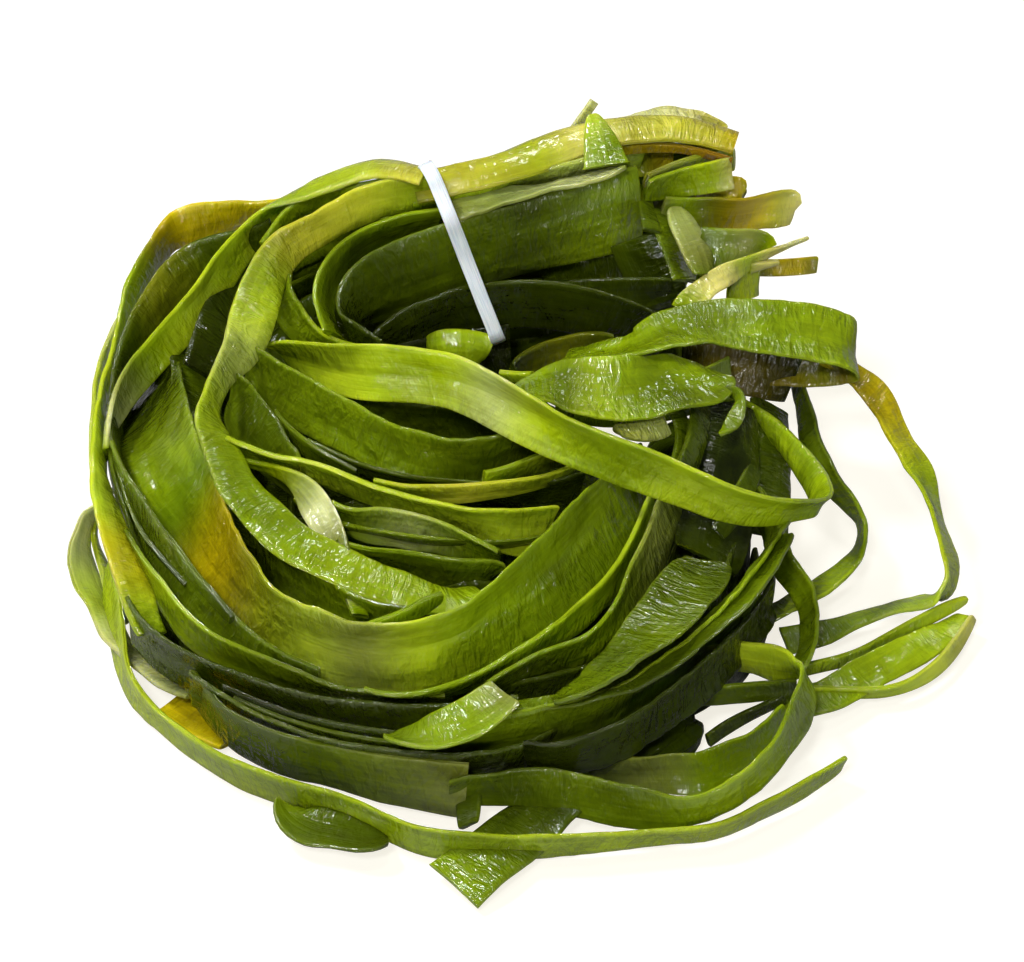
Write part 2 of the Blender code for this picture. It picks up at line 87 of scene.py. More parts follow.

# routes of the strips: width, colours along it, form, then stations along its middle line as x, y, z and
# lean, in mm and degrees. A lean of 0 stands the strip on its edge and 90 lays it flat; a fifth number is
# a local width, and a direction after the stations is the one the leans are taken from.
# the colours along each strip follow how bright it looks, so they hold painted shade where a strip lies deep
# in the gaps or under other strips, and painted sheen where its face catches the light
frontTurns = {
    "outerStrap": (9, "spring lime spring spring lime spring", "flat", [
        (-77, -7, 14, -10), (-76, -15, 10, -20), (-74, -24, 7, -15), (-71, -34, 6, 0), (-64, -42, 5, 10),
        (-53, -52, 5, 10), (-41, -58, 5, 10), (-30, -62, 5, 10), (-20, -68, 5, 10), (-10, -70, 5, 10),
        (5, -70, 5, 15, 8), (22, -68, 5, 20, 7), (32, -67, 5, 20, 7), (41, -62, 5, 15, 7),
        (50, -56, 5, 10, 6), (57, -50, 5, 15, 5)]),
    # frontCut's grey sage end is a painted sheen
    "frontCut": (14, "moss deep deep moss sage", "flat", [
        (-63, -36, 19, 10, 6), (-58, -42, 15, 5, 11), (-52, -49, 12, 10), (-43, -54, 11, 10),
        (-34, -56, 10, 10), (-24, -59, 10, 5), (-8.5, -61, 9, 0)]),
    "brightFlap": (9, "moss leaf leaf sage", "trough", [
        (-25, -60, 22, -130, 4), (-20, -62, 23, -110, 7), (-16, -62, 24, -100), (-10, -60, 25, -90),
        (-6, -57, 26, -95), (-2, -54, 27, -105)]),
    "nestOne": (9, "deep leaf spring leaf moss deep moss", "flat", [
        (-72, -14, 25, 10), (-68, -22, 24, 5), (-64, -29, 24, 0), (-60, -35, 23, 0), (-54, -40, 22, 5),
        (-46, -44, 22, 10), (-38, -47, 21, 20), (-29, -49, 20, 30), (-12, -50, 20, 30)]),
    "rimLight": (3, "dark moss deep dark", "stem", [
        (-66, -17, 31, -5, 2), (-62, -24, 31, -10), (-58, -30, 30, -5), (-54, -35, 29, -10),
        (-50, -40, 28, -5, 2)]),
    # edgeUpper's and edgeLower's black and dark are painted shade in the nest
    "edgeUpper": (3, "black black dark black", "flat", [
        (-54, -46.5, 20, 10), (-42, -52.5, 19.5, 15), (-30, -56, 19, 15), (-16, -57.5, 18, 15)]),
    "edgeLower": (3, "dark deep dark", "flat", [
        (-52, -48, 18.5, 10), (-41, -53.5, 18, 15), (-29, -57, 17.5, 15), (-14, -59, 16.5, 15)]),
    "nestTwo": (14, "deep dark dark deep", "flat", [
        (-71, -29, 20, 0, 12), (-64, -39, 20, 10), (-51, -45, 18, 15), (-36, -51, 17, 10),
        (-18, -54, 17, 5), (0, -51, 17, 10)]),
    "nestThree": (12, "deep dark deep", "flat", [
        (-60, -42, 16, 10), (-48, -49, 14, 20), (-32, -56, 13, 20), (-13, -59, 13, 20), (0, -56, 12, 15),
        (8, -50, 12, 10)]),
    "nestZero": (11, "moss deep moss deep", "flat", [
        (-76, 3, 31, 0, 9), (-73, -6, 30, 0), (-68, -16, 29, -10), (-64, -23, 27, -15), (-58, -31, 25, -15),
        (-52, -38, 23, -15), (-44, -44, 22, 0), (-34, -48, 21, 10)]),
    "leafOuter": (19, "leaf moss leaf leaf moss", "crisp", [
        (-20, -57, 14, 20), (-3, -56, 16, 10), (6, -54, 17, 10), (15, -50, 18, 15), (23, -43, 19, 15),
        (31, -36, 20, 15), (38, -28, 21, 10), (43, -19, 22, 10, 17), (47, -11, 23, 15, 16)]),
    "leafRim": (6, "deep moss deep deep dark moss deep deep", "crisp", [
        (-4, -55, 23, -115, 4), (1, -55, 24, -110, 4), (7, -55, 25, -95, 4), (13, -53.5, 26, -100, 5),
        (20.5, -50, 26.5, -100), (30, -42, 27.5, -110), (38, -33, 28, -120), (44, -23, 28.5, -125),
        (47, -16, 28.5, -125, 4)]),
    "leafInner": (11, "deep moss deep moss deep deep", "crisp", [
        (3, -57, 26, -135, 6), (7, -56, 27, -130, 9), (12, -53, 28, -125), (17, -48, 29, -120),
        (22, -42, 29, -105, 12), (27, -34, 29, -95, 12), (31, -27, 28, -90, 11), (33, -21, 26, -95, 8)]),
    # leafUnder's black and dark are painted shade beneath the leaves
    "leafUnder": (10, "black dark dark black", "crisp", [
        (-2, -57, 14, 15), (7, -58, 14, 5), (17, -54, 15, 0), (25, -48, 16, -5), (33, -40, 17, -5),
        (40, -31, 17, -5), (45, -21, 18, -5)]),
    "bottomLeaf": (9, "moss deep dark", "wavy", [
        (-43, -58, 4, -145, 5), (-39, -64, 4, -100), (-32, -66, 4, -95), (-26, -68, 4, -110),
        (-22, -68, 3, -130, 5)]),
    "bottomEnd": (12, "dark deep moss leaf", "wavy", [
        (9, -56, 5, 110), (4, -61, 5, 105), (-2, -67, 4, 90), (-8, -73, 4, 90), (-13.5, -78.5, 3, 80)]),
    "brownCorner": (7, "gold gold", "flat", [
        (-66, -34, 3, -95), (-62, -37, 3, -100), (-57, -41, 3, -95), (-51, -45, 3, -110)]),
    "smallStem": (5, "dark moss", "stem", [(-10, -58, 7, 120), (-10, -62, 6, 125), (-10, -67, 4, 145)]),
}
wideTurns = {
    # wideBand's black and dark top end is painted shade deep inside the skein, and its sage and lime stretch
    # is a painted sheen
    "wideBand": (18, "black black dark deep leaf moss amber olive lime sage lime leaf leaf moss leaf moss",
                 "crisp", [
        (-68, 44, 26, -50, 9), (-70, 36, 26, -50, 12), (-71, 28, 27, -45, 15), (-70, 18, 30, -45, 18),
        (-68, 6, 32, -50), (-65, -4, 32, -45),
        (-60, -12, 31, -30), (-55, -22, 30, -20), (-50, -30, 29, -10), (-44, -38, 28, 0),
        (-36, -43, 27, 0), (-28, -46, 27, 5), (-19, -46, 27, 0), (-11, -43, 27, -5), (-3, -36, 27, -15),
        (5, -28, 28, -25), (11, -19, 28, -25), (17, -9, 28, -25, 15), (23, 2, 28, -15, 13)]),
    "underBand": (9, "moss leaf spring spring", "flat", [
        (-28, -50, 22, 35), (-21, -52, 23, 40), (-14, -51, 23, 30), (-7, -47, 23, 25), (-1, -44, 24, 15),
        (5, -38, 24, 15), (10, -33, 24, 5), (15, -27, 25, 5), (19, -19, 26, 0), (24, -7, 27, -10)]),
    # secondArc's sage stretch is a painted gloss streak
    "secondArc": (11, "moss leaf leaf sage moss", "flat", [
        (-9, -50, 21, 25), (2, -43, 22, 20), (10, -40, 22, 15), (16, -34, 23, 0), (19, -27, 24, -10),
        (23, -18, 25, -15), (26, -8, 26, -20, 9), (31, 7, 26, -20, 9)]),
    "rolledTip": (4, "leaf leaf moss", "stem", [
        (-29, -44, 31, 30, 2), (-26, -45, 33, 25), (-21, -44, 34, 10), (-17, -41, 34.5, 5),
        (-13, -38.5, 34.5, 15, 2.5)]),
    # sideLeaf's dark colours are painted shade in the gap beside the wide band
    "sideLeaf": (11, "dark deep moss deep", "flat", [
        (-67, 34, 35, 35, 10), (-62, 23, 33, 55), (-61, 12, 31, 55), (-57, 1, 29, 55), (-54, -11, 28, 50),
        (-50, -20, 27, 40)]),
    "innerShade": (13, "deep moss leaf deep", "crisp", [
        (-52, -9, 30, -15, 10), (-48, -18, 27, 5), (-41, -26, 25, 0), (-34, -31, 24, 0), (-27, -35, 24, 5),
        (-19, -36, 23, 5)]),
}
innerStrips = {
    # brightMid's lime is painted light, brighter than the kelp to make up for the shade cast on it by the
    # strips above
    "brightMid": (10, "spring lime lime lime lime", "trough", [
        (-55, -1, 37, 30), (-45, -5, 35, 30), (-38, -6, 34, 25), (-25, -11, 32, 25), (-12, -14, 30, 20),
        (-5, -16, 29, 0), (1, -16, 28, -15), (6, -12, 27, 5)]),
    "crossDark": (12, "moss moss leaf deep moss", "crisp", [
        (-53, 21, 38, 0), (-46, 14, 37, -10), (-34, 6, 35, -10), (-20, -2, 34, 0), (-6, -2, 34, 10),
        (10, 10, 33, 5)]),
    "yellowMid": (5, "spring straw spring", "flat", [
        (-28, -6, 31, 30), (-22, -9, 32, 30), (-17, -10, 32, 15), (-11, -10, 32, 5), (-5, -9, 32, 10),
        (3, -7, 32, 20), (10, -2, 31, 15)]),
    "oliveMid": (6, "spring leaf olive", "flat", [
        (-9, -9, 33, 5), (-4, -6, 33, 20), (2, -3, 33, 15), (9, 2, 32, 0)]),
    # glossMid's pale stretch is a painted sheen
    "glossMid": (9, "leaf leaf pale leaf moss", "trough", [
        (-35, -13, 31, 15), (-32, -16, 31, 15), (-27, -16, 30, 0), (-21, -16, 29, 0), (-15, -17, 28, 5),
        (-9, -19, 27, 20), (-3, -21, 26, 30)]),
    "darkMid": (10, "leaf moss moss", "flat", [
        (-35, -19, 28, 30), (-29, -21, 27, 30), (-22, -21, 26, 25), (-15, -23, 25, 15), (-8, -23, 24, 15),
        (-4, -21, 23, 35)]),
    # thinDrop's pale, frost and sage stretch is a painted sheen
    "thinDrop": (6, "leaf leaf lime pale frost sage moss", "trough", [
        (-53, -5, 36, 35, 3.5), (-48, -6, 35, 25, 3.5), (-43, -8, 35, 10, 4.5), (-39, -12, 34, -30),
        (-36.5, -17, 33, -55), (-33.5, -22, 31, -45, 5), (-31.5, -27, 29, -30, 4)]),
    "dropTail": (3.5, "moss sage leaf moss", "trough", [
        (-31, -29, 28, 60), (-30, -33, 28, 65), (-29, -36, 27.5, 65), (-28.5, -38.5, 27, 60)]),
    "sideDark": (11, "moss deep deep moss", "crisp", [
        (-55, 15, 37, -5), (-52, 9, 35, -30), (-48, 2, 34, -30), (-44, -2, 32, -10), (-39, -7, 31, 5)]),
    # thinPale's deep and dark colours are painted shade
    "thinPale": (5, "deep moss deep dark", "flat", [
        (-47, 12, 32, 0), (-44, 7, 32, 5), (-40, 2, 32, 5), (-35, -2, 32, 15), (-29, -5, 31, 25)]),
    "underCross": (14, "moss deep deep", "flat", [
        (-39, 21, 31, 10), (-33, 16, 29, 10), (-24, 14, 28, 15), (-14, 13, 28, 15), (-5, 11, 28, 15),
        (6, 9, 29, 15)]),
    "lowFill": (16, "deep deep dark", "flat", [
        (-40, 8, 25, 20), (-28, 2, 25, 30), (-14, -2, 25, 30), (0, -3, 25, 30), (12, -1, 25, 20)]),
    "midFill": (12, "leaf moss deep", "flat", [
        (-42, -8, 27, 25), (-34, -13, 26, 30), (-24, -15, 25, 30), (-12, -16, 24, 30), (0, -15, 23, 30),
        (10, -9, 23, 20)]),
    "holePiece": (7, "leaf spring spring leaf", "roll", [
        (-19, 35, 29, 20, 5), (-16, 32, 31, -5), (-13, 32, 32, -30), (-9, 32, 31, -25), (-6, 33, 29, 10)]),
    "holeOlive": (7, "dark olive deep", "flat", [
        (-4, 29, 27, 25), (1, 32, 28, 0), (7, 35, 28, -5), (13, 37, 28, 0), (19, 37, 28, 20)]),
    "holeGreen": (3, "lime spring", "stem", [(-6, 21, 34, 20), (-1, 19, 35, 15), (3, 17, 36, -25)]),
    # holeDark is a black sheet that paints the shade at the bottom of the hole
    "holeDark": (13, "black black", "flat", [
        (-27, 31, 26, 0), (-20, 32, 26, -15), (-10, 35, 26, -20), (-1, 37, 26, -20)]),
}
crossStrips = {
    # crossTop's pale word in its middle is a painted glint patch
    "crossTop": (11, "leaf spring lime spring lime spring lime pale lime spring leaf spring lime spring "
                     "spring leaf leaf spring leaf leaf spring leaf leaf moss", "trough", [
        (-48, 25, 37, 35, 8), (-43, 22, 38, 15, 9), (-35, 16, 40, -5), (-27, 12, 42, -20), (-20, 9, 44, -15),
        (-13, 5, 46, -15), (-6, 0, 46, -15), (1, -6, 46, -10), (9, -11, 45, 0), (18, -14, 43, 0),
        (27, -17, 41, 0, 10), (36, -19, 38, 10, 10), (44, -18, 35, 15, 8), (50, -14, 32, 20, 6),
        (54, -10, 29, 25, 5), (54, -5, 27, 30, 6), (53, 1, 26, 30, 6), (50, 9, 25, 15, 6),
        (47, 16, 24, 0, 6), (42, 23, 23, -10, 6), (37, 29, 22, -5, 6)]),
}
leftTurns = {
    "foldedYellow": (9, "lime lime straw straw lime lime pale lime spring leaf leaf leaf spring spring "
                        "spring leaf", "wavy", [
        (-15, 49.5, 55, -15), (-21, 48, 56, -10), (-30, 46, 55, 0), (-41, 39, 53, 5, 8), (-45, 36, 52, 15),
        (-48, 31, 50, 35),
        (-50, 24, 47, 55), (-52, 17, 44, 35), (-55, 11, 43, 15, 7), (-57, 4, 42, 15, 7),
        (-57, -1, 41, 45, 8),
        (-54, -8, 40, 60, 8), (-51, -15, 38, 70), (-47, -19, 36, 85), (-42, -24, 34, 90),
        (-35, -27, 32, 90), (-28, -30, 30, 90), (-21, -31, 28, 90), (-14, -32, 26, 80), (-6, -28, 24, 75)]),
    # leftLong's sage and frost near its lower end are painted glints
    "leftLong": (9, "straw straw lime lime spring lime spring lime spring leaf sage frost spring",
                 "trough", [
        (-17, 48.5, 59.5, 110), (-22, 50, 60, 110), (-29, 53, 59, 105), (-39, 51, 56, 105, 8),
        (-43, 51, 54, 105, 8),
        (-47, 52, 51, 140, 8), (-52, 47, 48, 180, 8), (-57, 40, 45, 190), (-61, 33, 42, 190),
        (-66, 26, 40, 195, 8), (-70, 21, 38, 190, 8), (-73, 17, 36.5, 190, 8), (-75.5, 11, 35, 185, 7),
        (-77, 6, 33, 175, 6), (-77, 1, 30, 175, 5)]),
    "topLoop": (9, "gold gold gold gold amber olive leaf spring lime lime spring lime lime amber lime leaf",
                "wavy", [
        (-44, 61, 44, -35), (-50, 58, 44, -30), (-56, 55, 45, -15), (-62, 53, 45, 5, 10),
        (-66, 52, 45, 15), (-69, 51, 44, -5), (-71, 48, 42, 0), (-73, 44, 40, 5), (-75, 39, 38, 5),
        (-77, 31, 35, 0, 8), (-78, 25, 33, -5, 8), (-79, 17, 31.5, 0, 8), (-79, 9, 31, 10, 8),
        (-78.5, 2, 30, 20, 7), (-77.5, -4, 30, 25, 7), (-75.5, -11, 29, 40, 8), (-73, -18, 27, 50, 8),
        (-70, -25, 25, 55, 8), (-68, -31, 23, 50, 8), (-65, -36, 20, 45, 8)]),
    # leftEdge's frost and pale are painted sheen on its left-facing face
    "leftEdge": (6, "frost pale lime pale frost", "flat", [
        (-75.5, 40, 36, -20, 4), (-78, 36, 33, -10), (-80, 30, 31, -5), (-81, 23, 29, 0), (-81, 16, 27, 0),
        (-80.5, 9, 25, 10), (-79, 1, 23, 20), (-77, -5, 21, 25, 5)]),
    # leftEdgeTwo's black and dark are painted shade between the left strips
    "leftEdgeTwo": (7, "black dark deep dark black", "flat", [
        (-72, 38, 36, -15), (-74, 31, 34, -10), (-76, 22, 32, -5), (-77, 15, 31, -10), (-77, 9, 30, -10, 6),
        (-76.5, 3, 29, -5, 6), (-75.5, -2, 28, 0, 6), (-73, -8, 26, 5), (-70, -15, 24, 15),
        (-66, -22, 22, 25), (-60, -28, 20, 40)]),
    "darkInside": (16, "dark deep olive deep dark deep dark", "flat", [
        (-47, 49, 42, 5), (-52, 46, 42, 0), (-59, 44, 41, 10), (-62, 42, 40, 20), (-66, 38, 39, 20),
        (-68, 33, 38, 15), (-71, 30, 36, 10), (-73, 25, 35, 5), (-75, 21, 33, 5, 14), (-76, 15, 31, 5, 13),
        (-76, 9, 30, 5, 12), (-75, 2, 28, 5, 12), (-71, -10, 25, 10, 12), (-66, -19, 24, 15, 12),
        (-58, -28, 22, 20, 12)]),
    # bulge's pale and frost are painted sheen
    "bulge": (9, "pale frost frost pale lime frost frost pale", "wavy", [
        (-76, 7, 19, -45, 6), (-80, 5, 16, -45, 7), (-82, 4, 14, -10, 8), (-83, 0, 12, 5),
        (-83, -4, 10, 30), (-81, -9, 8, 45), (-78, -14, 6, 50, 8), (-75, -21, 5, 50, 7),
        (-70, -26, 5, 50, 8), (-65, -31, 5, 50, 8), (-58, -36, 5, 45, 7)]),
    "bulgeThin": (4, "spring lime pale", "stem", [
        (-78, 9, 14, -50), (-80, 8, 12, -35), (-82, 5, 10, -10), (-81, 1, 8, 15), (-79, -3, 7, 30),
        (-77, -10, 6, 35), (-74, -17, 5, 35)]),
    "midOlive": (8, "leaf leaf leaf moss", "flat", [
        (-19, 51, 57, -45), (-24, 51, 56, -35), (-32, 51, 54, -30), (-38, 51, 52, -20), (-44, 50, 50, -20),
        (-47, 46, 48, -5), (-50, 40, 46, 0)]),
    "turnOne": (13, "leaf leaf moss leaf leaf", "flat", [
        (-15, 49, 49, -30), (-22, 47, 49, -30), (-28, 45, 48, -25), (-33, 41, 47, -15), (-36, 35, 46, 0),
        (-38, 31, 44, 10), (-37, 27, 42, 25), (-34, 22, 40, 35)]),
    "leftOfHole": (9, "deep moss leaf spring leaf", "flat", [
        (-45, 36, 45, -25), (-46, 32, 44, -20), (-44, 28, 42, -10), (-41, 26, 40, 5), (-37, 23, 39, 20),
        (-30, 22, 37, 20)]),
    # underLoop's dark and black are painted shade under the top loop
    "underLoop": (11, "dark dark black", "flat", [
        (-47, 50, 39, 20), (-52, 43, 38, 30), (-56, 35, 38, 40), (-58, 26, 37, 45), (-60, 17, 35, 45)]),
}
tiedLimb = {
    "backTop": (9.5, "olive straw straw lime straw cream straw straw amber", "roll", [
        (-23, 50, 56, -95), (-12, 52.5, 57.5, -95), (-4, 55, 58, -95), (2, 58.5, 58, -90),
        (9, 63, 58, -90), (17, 66, 58.5, -95), (30, 68, 58, -100), (43, 65.5, 55.5, -105)]),
    "backEdge": (2.5, "olive gold olive amber rust", "flat", [
        (-14, 49, 54.5, 20), (-5, 52, 55, 15), (3, 56.5, 55, 10), (10, 60.5, 55.5, 10), (18, 63, 55.5, 10),
        (30, 64.5, 55, 20), (42, 62, 53, 20)]),
    "backPale": (6, "cream frost cream straw", "frill", [
        (17, 70, 55.5, -105), (23, 72, 57, -100), (31, 73.5, 56.5, -95), (37, 72.5, 55, -100, 5),
        (41, 70.5, 54, -100, 2.5)]),
    "backTip": (4.5, "cream straw cream", "frill", [
        (32, 72.5, 56, -100), (36, 72, 55.5, -100), (39.5, 71, 55, -95, 3.5)]),
    "tipGrey": (2, "leaf sage frost frost", "stem", [
        (4, 62, 51, 0), (7, 67, 52, -10), (9.5, 70.5, 55, -15), (12.5, 72, 58.5, -10),
        (14.6, 74, 61.3, -20)]),
    "flap": (9, "leaf leaf lime lime", "flat", [
        (16, 55, 55.5, 90, 9.5), (14.8, 60, 59.3, 90, 7), (13.6, 64, 61.2, 90, 4.2),
        (12.8, 67.5, 62.4, 90, 1.6)]),
    # innerBand darkens towards its lower end as painted shade
    "innerBand": (18, "moss leaf moss deep moss deep deep deep dark dark", "flat", [
        (24, 59, 46, 10, 17), (17, 55, 46, 10), (8, 51, 46, 5), (-1, 47, 46, 0), (-9, 43, 46, 0),
        (-17, 40, 45, 0), (-24, 37, 44, 0), (-31, 33, 43, -5), (-34, 29, 40, 5, 16), (-32, 25, 38, 10, 15),
        (-26, 22, 36, 15, 14)]),
    "innerCorner": (4, "leaf leaf moss deep", "flat", [
        (21, 69, 46, 35, 2), (23, 63, 46, 50), (24, 56, 46, 55), (25, 49, 45, 70)]),
    "innerUnder": (11, "deep dark dark", "flat", [
        (21, 54, 43, 90), (23, 52, 38.5, 90), (25.5, 50, 33.5, 90), (27.5, 48, 28, 90)], (0, -1, 0)),
    # backGap's black and dark are painted shade of the gap behind the hole
    "backGap": (14, "black black dark", "flat", [
        (-12, 51, 32, 0), (0, 54, 34, 0), (12, 58, 35, 0), (22, 61, 36, 0)]),
    # edgeOne's sage and frost are painted highlights along its edges
    "edgeOne": (7, "sage moss frost moss frost moss", "crisp", [
        (-15, 44, 54, -95), (-5, 48, 55, -100), (4, 51, 55, -115),
        (14, 55, 55, -115), (19, 59, 55, -120)]),
    "edgeTwo": (8, "leaf spring pale leaf", "flat", [
        (-23, 48, 51, 25), (-15, 50, 52, 25), (-8, 51, 53, 25), (-1, 55, 53, 25), (7, 57, 54, 20),
        (13, 60, 54, 20), (19, 64, 54, 5), (25, 66, 53, 10)]),
    # lowBack's black and dark are painted shade of the gap behind the hole
    "lowBack": (14, "black dark dark dark black", "flat", [
        (-30, 32, 28, 40, 12), (-27, 32, 31, 20), (-23, 34, 33, 5), (-17, 38, 34, 10), (-10, 40, 35, 10),
        (2, 40, 36, 10), (12, 39, 35, 10), (21, 38, 33, 15, 12), (27, 37, 31, 25, 12)]),
}
cutEnds = {
    "bunchGreen": (7, "leaf leaf spring lime cream", "trough", [
        (22, 57, 50, 20, 6), (26, 59, 50, 10), (32, 61, 50, 0), (37, 61, 51, -10), (42, 63, 51, -15)]),
    "bunchFace": (4, "olive sage lime spring", "stem", [
        (22, 57, 52, 20), (28, 61, 52, 15), (35, 65, 52, 15), (41, 69, 51, 15)]),
    "bunchAmber": (5, "gold straw gold straw", "wavy", [
        (32, 61, 46, 25), (37, 63, 46, 0), (42, 64, 46, -45), (45, 63, 45, 20, 4)]),
    "bunchFill": (8, "deep olive moss olive", "crisp", [
        (22, 63, 43, 0), (31, 64, 43, 5), (39, 66, 42, 5), (45, 66, 41, 20)]),
    "bunchOlive": (8, "lime olive olive gold gold", "crisp", [
        (20, 67, 51, -5), (24, 67, 51, -15), (28, 68, 51, -5), (31, 68, 51, 10)]),
    "bunchPale": (7, "lime gold straw lime", "wavy", [
        (30, 72, 50, 5), (35, 70, 50, 5), (39, 69, 50, 5), (43, 67, 50, 10, 6)]),
    "bunchBack": (13, "moss moss olive gold", "flat", [
        (17, 69, 46, 0), (26, 70, 46, 0), (35, 70, 45, 0), (42, 69, 44, 0)]),
    "bunchLens": (6.5, "sage pale sage moss", "trough", [
        (29, 58, 47, 60, 4), (31, 53, 45, 75), (34, 47, 42, 75), (35, 42, 39, 45, 5)]),
    "bunchSide": (8, "deep moss deep moss", "flat", [
        (25, 60, 45, 65), (28, 54, 43, 60), (30, 48, 40, 55), (32, 43, 37, 55)]),
    "scroll": (8, "sage leaf olive amber gold straw cream cream", "crisp", [
        (25, 57, 45, 5), (30, 58, 44, -5), (36, 59, 43, -5), (42, 60, 42, 0), (46, 63, 41, 0),
        (50, 65, 40, -10), (54, 67, 39, -10, 7), (55.5, 68, 38, 25, 4)]),
    "crumpled": (11, "deep moss sage moss leaf", "frill", [
        (32, 49, 41, -40), (37, 48, 41, -40), (43, 50, 40, -20), (46, 52, 39, -5, 10),
        (48, 53, 38, 20, 9)]),
    "crumpleTail": (6, "leaf lime spring", "frill", [
        (38, 43, 36, 10), (43, 46, 36, -25), (47, 49, 35, -10)]),
    "frayed": (6, "spring lime cream cream lime cream frost cream", "crisp", [
        (30, 37, 34, -75), (32, 39.5, 36.5, -65), (35, 41.5, 39, -65, 4.5), (39, 44, 40, -40, 4.5),
        (43, 47, 40, -10, 3.5), (48, 51, 40, 20, 3), (52, 54, 39.5, 30, 2), (57, 57.5, 39, 35, 1)]),
    "frayTip": (2.5, "lime cream cream", "stem", [
        (42, 46.5, 39, -20), (46, 48.5, 38.5, 10, 2), (51, 51, 38, 25, 1)]),
    "brownTail": (3.5, "sage olive amber olive", "stem", [
        (38, 56, 33, -20), (46, 57, 31.5, -30), (53, 59, 30, -35), (60, 61.5, 29, -10)]),
}
rightLoops = {
    # bigLoop turns olive, brown and dark on its return underneath: partly its own brown edge, partly painted
    # shade
    "bigLoop": (14, "moss leaf leaf leaf moss leaf leaf leaf spring leaf olive brown olive brown brown dark",
                "crisp", [
        (6, 24, 35, -25, 10), (16, 23, 38, -25, 12), (21, 22, 40, -20), (27, 25, 41, -10), (34, 27, 41, -5),
        (41, 27, 41, 5), (48, 27, 40, 10), (55, 28, 38, 10), (61, 28, 36, 10), (63.5, 29, 33, 5, 13),
        (62, 30, 30, 0, 12), (57, 30, 29, 0, 12), (50, 31, 28, 0, 12), (43, 34, 27, 0, 12),
        (36, 38, 26, 0, 12)], (0, 1, 0)),
    "underLeaf": (9, "leaf leaf moss", "flat", [
        (4, 11, 36, 10), (14, 9, 36, 0), (24, 11, 35, 0), (32, 16, 34, -10), (40, 22, 33, -20)]),
    # cornerDark's black and brown are painted shade under the big loop
    "cornerDark": (10, "black brown black", "flat", [
        (28, 26, 32, -10, 11), (33, 26, 32, -10), (39, 27, 31, -35), (46, 27, 29, -25), (53, 27, 27, -5)]),
    "foldedLeaf": (15, "moss leaf moss spring leaf moss leaf moss", "crisp", [
        (-4, 6, 40, -120, 9), (3, 8, 42, -110), (7, 8, 42, -95), (13, 7, 42, -80), (20, 8, 41, -75),
        (26, 11, 40, -85), (32, 13, 39, -85), (36, 19, 37, -90, 8)]),
    # greyUnder's sage and pale are a painted grey sheen
    "greyUnder": (5, "sage sage pale", "flat", [(15, -1, 39, -120), (19, 0, 38, -85), (24, 2, 37, -55),
                                                (27, 5, 36, -50, 4)]),
    "hook": (3, "deep moss moss", "stem", [
        (36, 13, 37, 0, 2), (39, 11, 38, -10, 2.5), (39.8, 9, 39.5, -15), (39.5, 6, 38.5, -55),
        (38.2, 3.5, 37, -105), (36.5, 1.5, 36, -70, 2), (34, 2, 35, -65, 1)]),
    "outerYellow": (6.5, "olive gold amber gold lime spring lime lime spring spring leaf moss moss",
                    "wavy", [
        (56, 32, 30, -100), (60, 30, 29, -100), (65, 27, 27, -90), (69, 24, 24, -95), (71, 18, 21, -115),
        (75, 12, 18, -115), (77, 5, 15, -140), (79, -3, 12, -145), (80, -7, 9, -160), (78, -11, 7, -190),
        (75, -11, 6, -240, 6), (68, -13, 6, -240, 6), (60, -16, 5, -250, 6), (54, -19, 5, -270, 6),
        (46, -21, 5, -275)]),
    "darkRight": (6.5, "moss deep moss leaf leaf spring moss", "wavy", [
        (50, 37, 26, 10), (53, 29, 24, -5), (54, 21, 21, -20), (56, 14, 18, -15), (60, 10, 14, 0),
        (64, 6, 11, 10), (64, 2, 9, -20), (61, -3, 7, -50), (57, -6, 6, -60), (53, -10, 6, -65),
        (47, -14, 6, -65), (38, -20, 6, -65)]),
    "rightDrop": (7, "moss deep leaf moss leaf leaf", "crisp", [
        (42, 1, 23, 0), (46, -8, 20, -15), (47, -13, 17, -10), (51, -16, 14, -5), (52, -20, 12, -15),
        (52, -25, 10, -25), (50, -30, 8, -35), (46, -35, 7, -40)]),
    # the drop strips' dark and black are painted shade of the hollow below the folded leaf
    "dropOne": (6, "dark deep deep dark", "crisp", [
        (33, 14, 34, 50, 5), (32, 5, 33, 35), (30, -2, 32, 25), (27, -7, 31, 15, 4)]),
    "dropTwo": (14, "black dark black dark", "crisp", [
        (38, 18, 31, 55), (39, 11, 28, 55), (37, 3, 25, 70), (35, -7, 21, 75), (33, -15, 18, 50)]),
    "dropThree": (10, "dark deep deep", "crisp", [
        (47, 26, 24, 50), (47, 16, 21, 50), (46, 6, 17, 60), (44, -4, 14, 80)]),
    "dropFour": (4, "dark deep deep dark", "flat", [
        (43, 3, 28, 45, 3), (41, -2, 27, 45), (38, -8, 25, 50), (34, -13, 23, 60, 3)]),
    "foldEdge": (4, "deep moss deep", "flat", [
        (26, 11, 36, 65), (29, 9, 34, 60), (29, 3, 32, 35), (27, -4, 30, 25)]),
}
